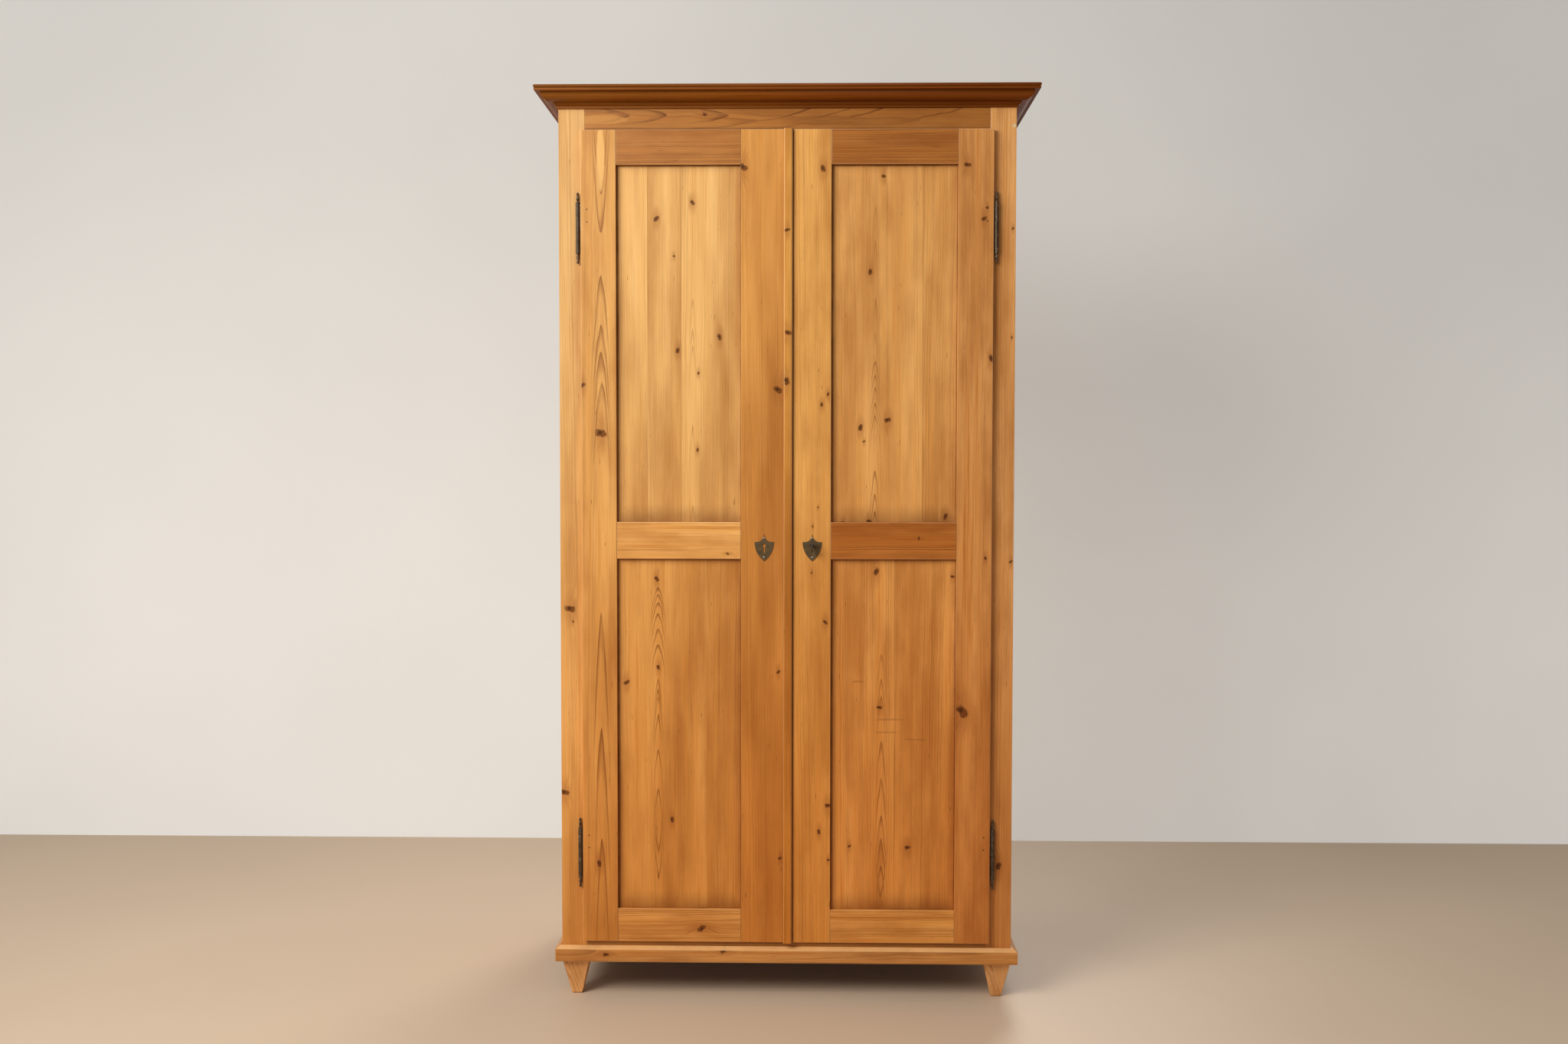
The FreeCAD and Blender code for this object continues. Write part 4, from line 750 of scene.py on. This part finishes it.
pine("right_lower_panel", "ZXY",
     [Plank(109.1, 0.02, behind=0.030, contrast=0.45, edge=0.226, seam=0.30, figure=1.7),
      Plank(111.7, 0.42, behind=0.02, contrast=0.60, figure=1.7)],
     flames=[Flame(0.199, (0.730, 0.677, 0.640), 0.0080, 0.060, strength=0.60, depth=0.018),
             Flame(0.199, (0.546, 0.467, 0.390, 0.340, 0.287), 0.0080, 0.055, depth=0.026),
             Flame(0.199, (0.217,), 0.0080, -0.050, depth=0.020)],
     knots=[(0.188, 0.903, 0.0058), (0.346, 0.893, 0.0032), (0.195, 0.618, 0.0042), (0.255, 0.323, 0.0048),
            (0.133, 0.325, 0.0030)],
     scratches=[(0.178, 0.252, 0.593), (0.180, 0.240, 0.566), (0.240, 0.300, 0.551), (0.135, 0.165, 0.672)],
     dirt_and_shade=panel_dirt_and_shadow(RIGHT_FREE_SIDE, RIGHT_SIDE, BOTTOM_RAIL_HEAD, LOCK_RAIL_FOOT),
     tone=(1.10, 0.97, 0.78))


# Meeting strip
# A narrow strip of pine is fixed along the free edge of the left door and stands proud of its face.
# Its corners are rubbed round and pale by hands.
STRIP_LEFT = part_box("meeting_strip")[0].x
STRIP_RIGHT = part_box("meeting_strip")[1].x
# A thin dark line runs along its left edge; the wider dark band on its right side is partly dirt and partly
# painted shade of its rounded face turned from the light and of the gap beside it.
pine("meeting_strip", "ZXY", [Plank(113.9, 0.10, behind=0.02)], eased=0.0022,
     dirt_and_shade=[("across", STRIP_LEFT, 1, 0.0016, 0.55), ("across", STRIP_RIGHT, -1, 0.0060, 0.45)],
     knots=[(0.002, 1.608, 0.0040), (0.004, 1.397, 0.0056), (0.001, 1.298, 0.0064)],
     worn=HANDLED, tone=(0.89, 0.71, 0.37))


# Hinges and nails
# Four pin hinges of forged iron with turned ends; the leaves are let into the wood and nailed in the doors.
# The skin is dark brown, rubbed brighter in places, and the two pins of each shield are bright from hands.
def worn_metal(name, dark, bloom, bright, wear=0.5, metallic=0.75, rough=0.42, bright_within=0.0):
    """Old metal: a dark skin with patches of bloom, rubbed bright in places, pitted all over.

    bright_within is how far either side of the middle of the wardrobe hands have kept it bright.
    """
    material, recipe, shader = new_material(name)
    place = recipe.step("ShaderNodeTexCoord", {}).outputs["Object"]
    patches = recipe.fade(recipe.noise(place, scale=110.0, detail=4.0), 0.30, 0.70)
    rubbed = recipe.fade(recipe.noise(place, scale=170.0, detail=5.0), 1.0 - wear, 1.25 - wear)
    off_middle = recipe.math("ABSOLUTE", recipe.step("ShaderNodeSeparateXYZ", {0: place}).outputs[0])
    handled = recipe.product(recipe.math("LESS_THAN", off_middle, bright_within), 0.85)
    rubbed = recipe.math("MAXIMUM", rubbed, handled)
    pits = recipe.noise(place, scale=900.0, detail=3.0)
    colour = recipe.mix(patches, (*dark, 1.0), (*bloom, 1.0))
    colour = recipe.mix(rubbed, colour, (*bright, 1.0))
    recipe.feed(shader.inputs["Base Color"], colour)
    roughness = recipe.total(rough, recipe.product(patches, 0.16), recipe.product(rubbed, -0.12))
    recipe.feed(shader.inputs["Roughness"], roughness)
    bump = recipe.step("ShaderNodeBump", {"Strength": 0.3, "Distance": 0.0002, "Height": pits})
    recipe.feed(shader.inputs["Normal"], bump.outputs[0])
    shader.inputs["Metallic"].default_value = metallic
    return material


hinge_iron = worn_metal("hinge_iron", (0.050, 0.030, 0.015), (0.110, 0.070, 0.038), (0.270, 0.205, 0.135),
                        wear=0.44, metallic=0.45, rough=0.40)
for level in ("upper", "lower"):
    for side in ("left", "right"):
        for half in ("door", "frame"):
            finish_with(f"{level}_{side}_hinge_{half}_leaf", hinge_iron)
finish_with("hinge_pins", hinge_iron)
nail_iron = worn_metal("nail_iron", (0.090, 0.030, 0.008), (0.140, 0.050, 0.014), (0.420, 0.390, 0.340),
                       wear=0.20, metallic=0.40, bright_within=0.10)
finish_with("left_door_nails", nail_iron)
finish_with("right_door_nails", nail_iron)


# Escutcheons
# Two cast shields, one on each door, pinned through top and bottom; the left one is only there to match.
# Brass gone dark brown, rubbed a little brighter in patches.
shield_brass = worn_metal("shield_brass", (0.090, 0.054, 0.018), (0.130, 0.086, 0.034),
                          (0.230, 0.160, 0.070), wear=0.40, metallic=0.35, rough=0.48)
finish_with("left_escutcheon", shield_brass)
finish_with("right_escutcheon", shield_brass)


# Lock and key
# An iron box lock on the back of the right door throws its bolt into a keeper on the left one.
# Dull dark iron; the key is a little brighter from use.
lock_iron = worn_metal("lock_iron", (0.070, 0.058, 0.046), (0.130, 0.100, 0.072), (0.300, 0.280, 0.250),
                       wear=0.38)
for piece in ("lock_case", "lock_bolt", "lock_keeper"):
    finish_with(piece, lock_iron)
key_iron = worn_metal("key_iron", (0.060, 0.048, 0.034), (0.110, 0.090, 0.060), (0.300, 0.270, 0.220),
                      wear=0.45)
finish_with("key", key_iron)


# Bolts of the left door
# A small sliding bolt at the top and one at the bottom hold the left door shut, each in guides on a plate.
# Plates and round bars of iron, as dull as the lock.
for piece in ("left_top_bolt", "left_bottom_bolt", "bolt_plates"):
    finish_with(piece, lock_iron)


# Room
# A plain floor and a plain pale wall, lit by one large soft lamp from the upper left and a plain sky.
# A weak lamp behind lights the back of the piece for views from there.
WALL_DISTANCE = 1.04
WALL_HEIGHT = 6
ROOM = 9


def plain_sheet(name, corners, colour, rough, own_light=0.0):
    """A flat sheet of the room, seen from its front only.

    own_light is how much of its colour it shows without a lamp.
    """
    mesh = bpy.data.meshes.new(name)
    mesh.from_pydata(corners, [], [range(len(corners))])
    sheet = bpy.data.objects.new(name, mesh)
    bpy.context.scene.collection.objects.link(sheet)
    material, recipe, shader = new_material(name + "_paint")
    place = recipe.step("ShaderNodeTexCoord", {}).outputs["Object"]
    cloudy = recipe.fade(recipe.noise(place, scale=0.8, detail=3.0), 0.3, 0.7, 0.97, 1.03)
    height = recipe.step("ShaderNodeSeparateXYZ", {0: place}).outputs[2]
    # The wall is painted darker towards its top, as painted shade; the floor lies at height 0 and is not
    # changed.
    cloudy = recipe.product(cloudy, recipe.fade(height, 0.6, 2.2, 1.0, 0.82))
    tone = recipe.mix(1.0, (*colour, 1.0), recipe.point(cloudy, cloudy, cloudy), blend="MULTIPLY")
    recipe.feed(shader.inputs["Base Color"], tone)
    shader.inputs["Roughness"].default_value = rough
    shader.inputs["Specular IOR Level"].default_value = 0.2
    path = recipe.step("ShaderNodeLightPath", {}).outputs
    seen = recipe.math("MAXIMUM", path["Is Camera Ray"], path["Is Glossy Ray"])
    seen = recipe.math("MAXIMUM", seen, path["Is Transmission Ray"])
    glow = recipe.step("ShaderNodeEmission", {"Color": tone}).outputs[0]
    glow_share = recipe.product(seen, own_light)
    shown = recipe.step("ShaderNodeMixShader", {0: glow_share, 1: shader.outputs[0], 2: glow})
    behind = recipe.step("ShaderNodeNewGeometry", {}).outputs["Backfacing"]
    see_through = recipe.step("ShaderNodeBsdfTransparent", {}).outputs[0]
    both = recipe.step("ShaderNodeMixShader", {0: behind, 1: shown.outputs[0], 2: see_through})
    recipe.feed(material.node_tree.nodes["Material Output"].inputs["Surface"], both.outputs[0])
    mesh.materials.append(material)
    return sheet


FLOOR_CORNERS = [(-ROOM, -ROOM, 0), (ROOM, -ROOM, 0), (ROOM, ROOM, 0), (-ROOM, ROOM, 0)]
WALL_CORNERS = [(-ROOM, WALL_DISTANCE, 0), (ROOM, WALL_DISTANCE, 0),
                (ROOM, WALL_DISTANCE, WALL_HEIGHT), (-ROOM, WALL_DISTANCE, WALL_HEIGHT)]
plain_sheet("floor", FLOOR_CORNERS, colour=(0.60, 0.46, 0.33), rough=0.55)
wall = plain_sheet("wall", WALL_CORNERS, colour=(0.86, 0.84, 0.80), rough=0.8, own_light=0.42)
wall.visible_shadow = False
wall.visible_diffuse = False


def soft_lamp(name, place, target, size, power, colour):
    """A large round soft lamp that looks at the target."""
    light = bpy.data.lights.new(name, "AREA")
    light.shape = "DISK"
    light.size = size
    light.energy = power
    light.color = colour
    lamp = bpy.data.objects.new(name, light)
    bpy.context.scene.collection.objects.link(lamp)
    lamp.location = place
    aim = Vector(target) - Vector(place)
    lamp.rotation_euler = aim.to_track_quat("-Z", "Y").to_euler()
    return lamp


soft_lamp("window_lamp", place=(-2.0, -2.4, 2.6), target=(0.0, -0.2, 1.0), size=2.0, power=104.0,
          colour=(1.0, 0.985, 0.96))
back_lamp = soft_lamp("back_lamp", place=(1.0, 3.2, 2.4), target=(0.0, 0.3, 1.1), size=1.6, power=14.0,
                      colour=(1.0, 0.99, 0.97))
back_lamp.data.spread = math.radians(70)
sky = bpy.data.worlds.new("sky")
sky.use_nodes = True
sky_light = sky.node_tree.nodes["Background"]
sky_recipe = Recipe(sky.node_tree)
sky_place = sky_recipe.step("ShaderNodeTexCoord", {}).outputs["Generated"]
upward = sky_recipe.step("ShaderNodeSeparateXYZ", {0: sky_place}).outputs[2]
sky_light.inputs["Color"].default_value = (1.0, 0.98, 0.95, 1.0)
SKY_AT_FLOOR = 0.10
SKY_OVERHEAD = 0.46
sky_strength = sky_recipe.fade(upward, 0.0, 0.6, SKY_AT_FLOOR, SKY_OVERHEAD)
sky_recipe.feed(sky_light.inputs["Strength"], sky_strength)
bpy.context.scene.world = sky


# Camera
# A lens of about 32 mm, a little above the middle of the piece and a little to its right.
# It looks slightly down and is turned by about a degree towards the middle.
LOOK_DOWN = 0.037775
ROLL = -0.001147
TURN = 0.019372
camera = bpy.data.objects.new("camera", bpy.data.cameras.new("camera"))
camera.data.sensor_fit = "HORIZONTAL"
camera.data.sensor_width = 36.0
camera.data.lens = 32.19
camera.location = (0.0516, -3.149, 1.1163)
camera.rotation_euler = (math.pi / 2 - LOOK_DOWN, ROLL, TURN)
bpy.context.scene.collection.objects.link(camera)
bpy.context.scene.camera = camera
bpy.context.scene.view_settings.view_transform = "Standard"
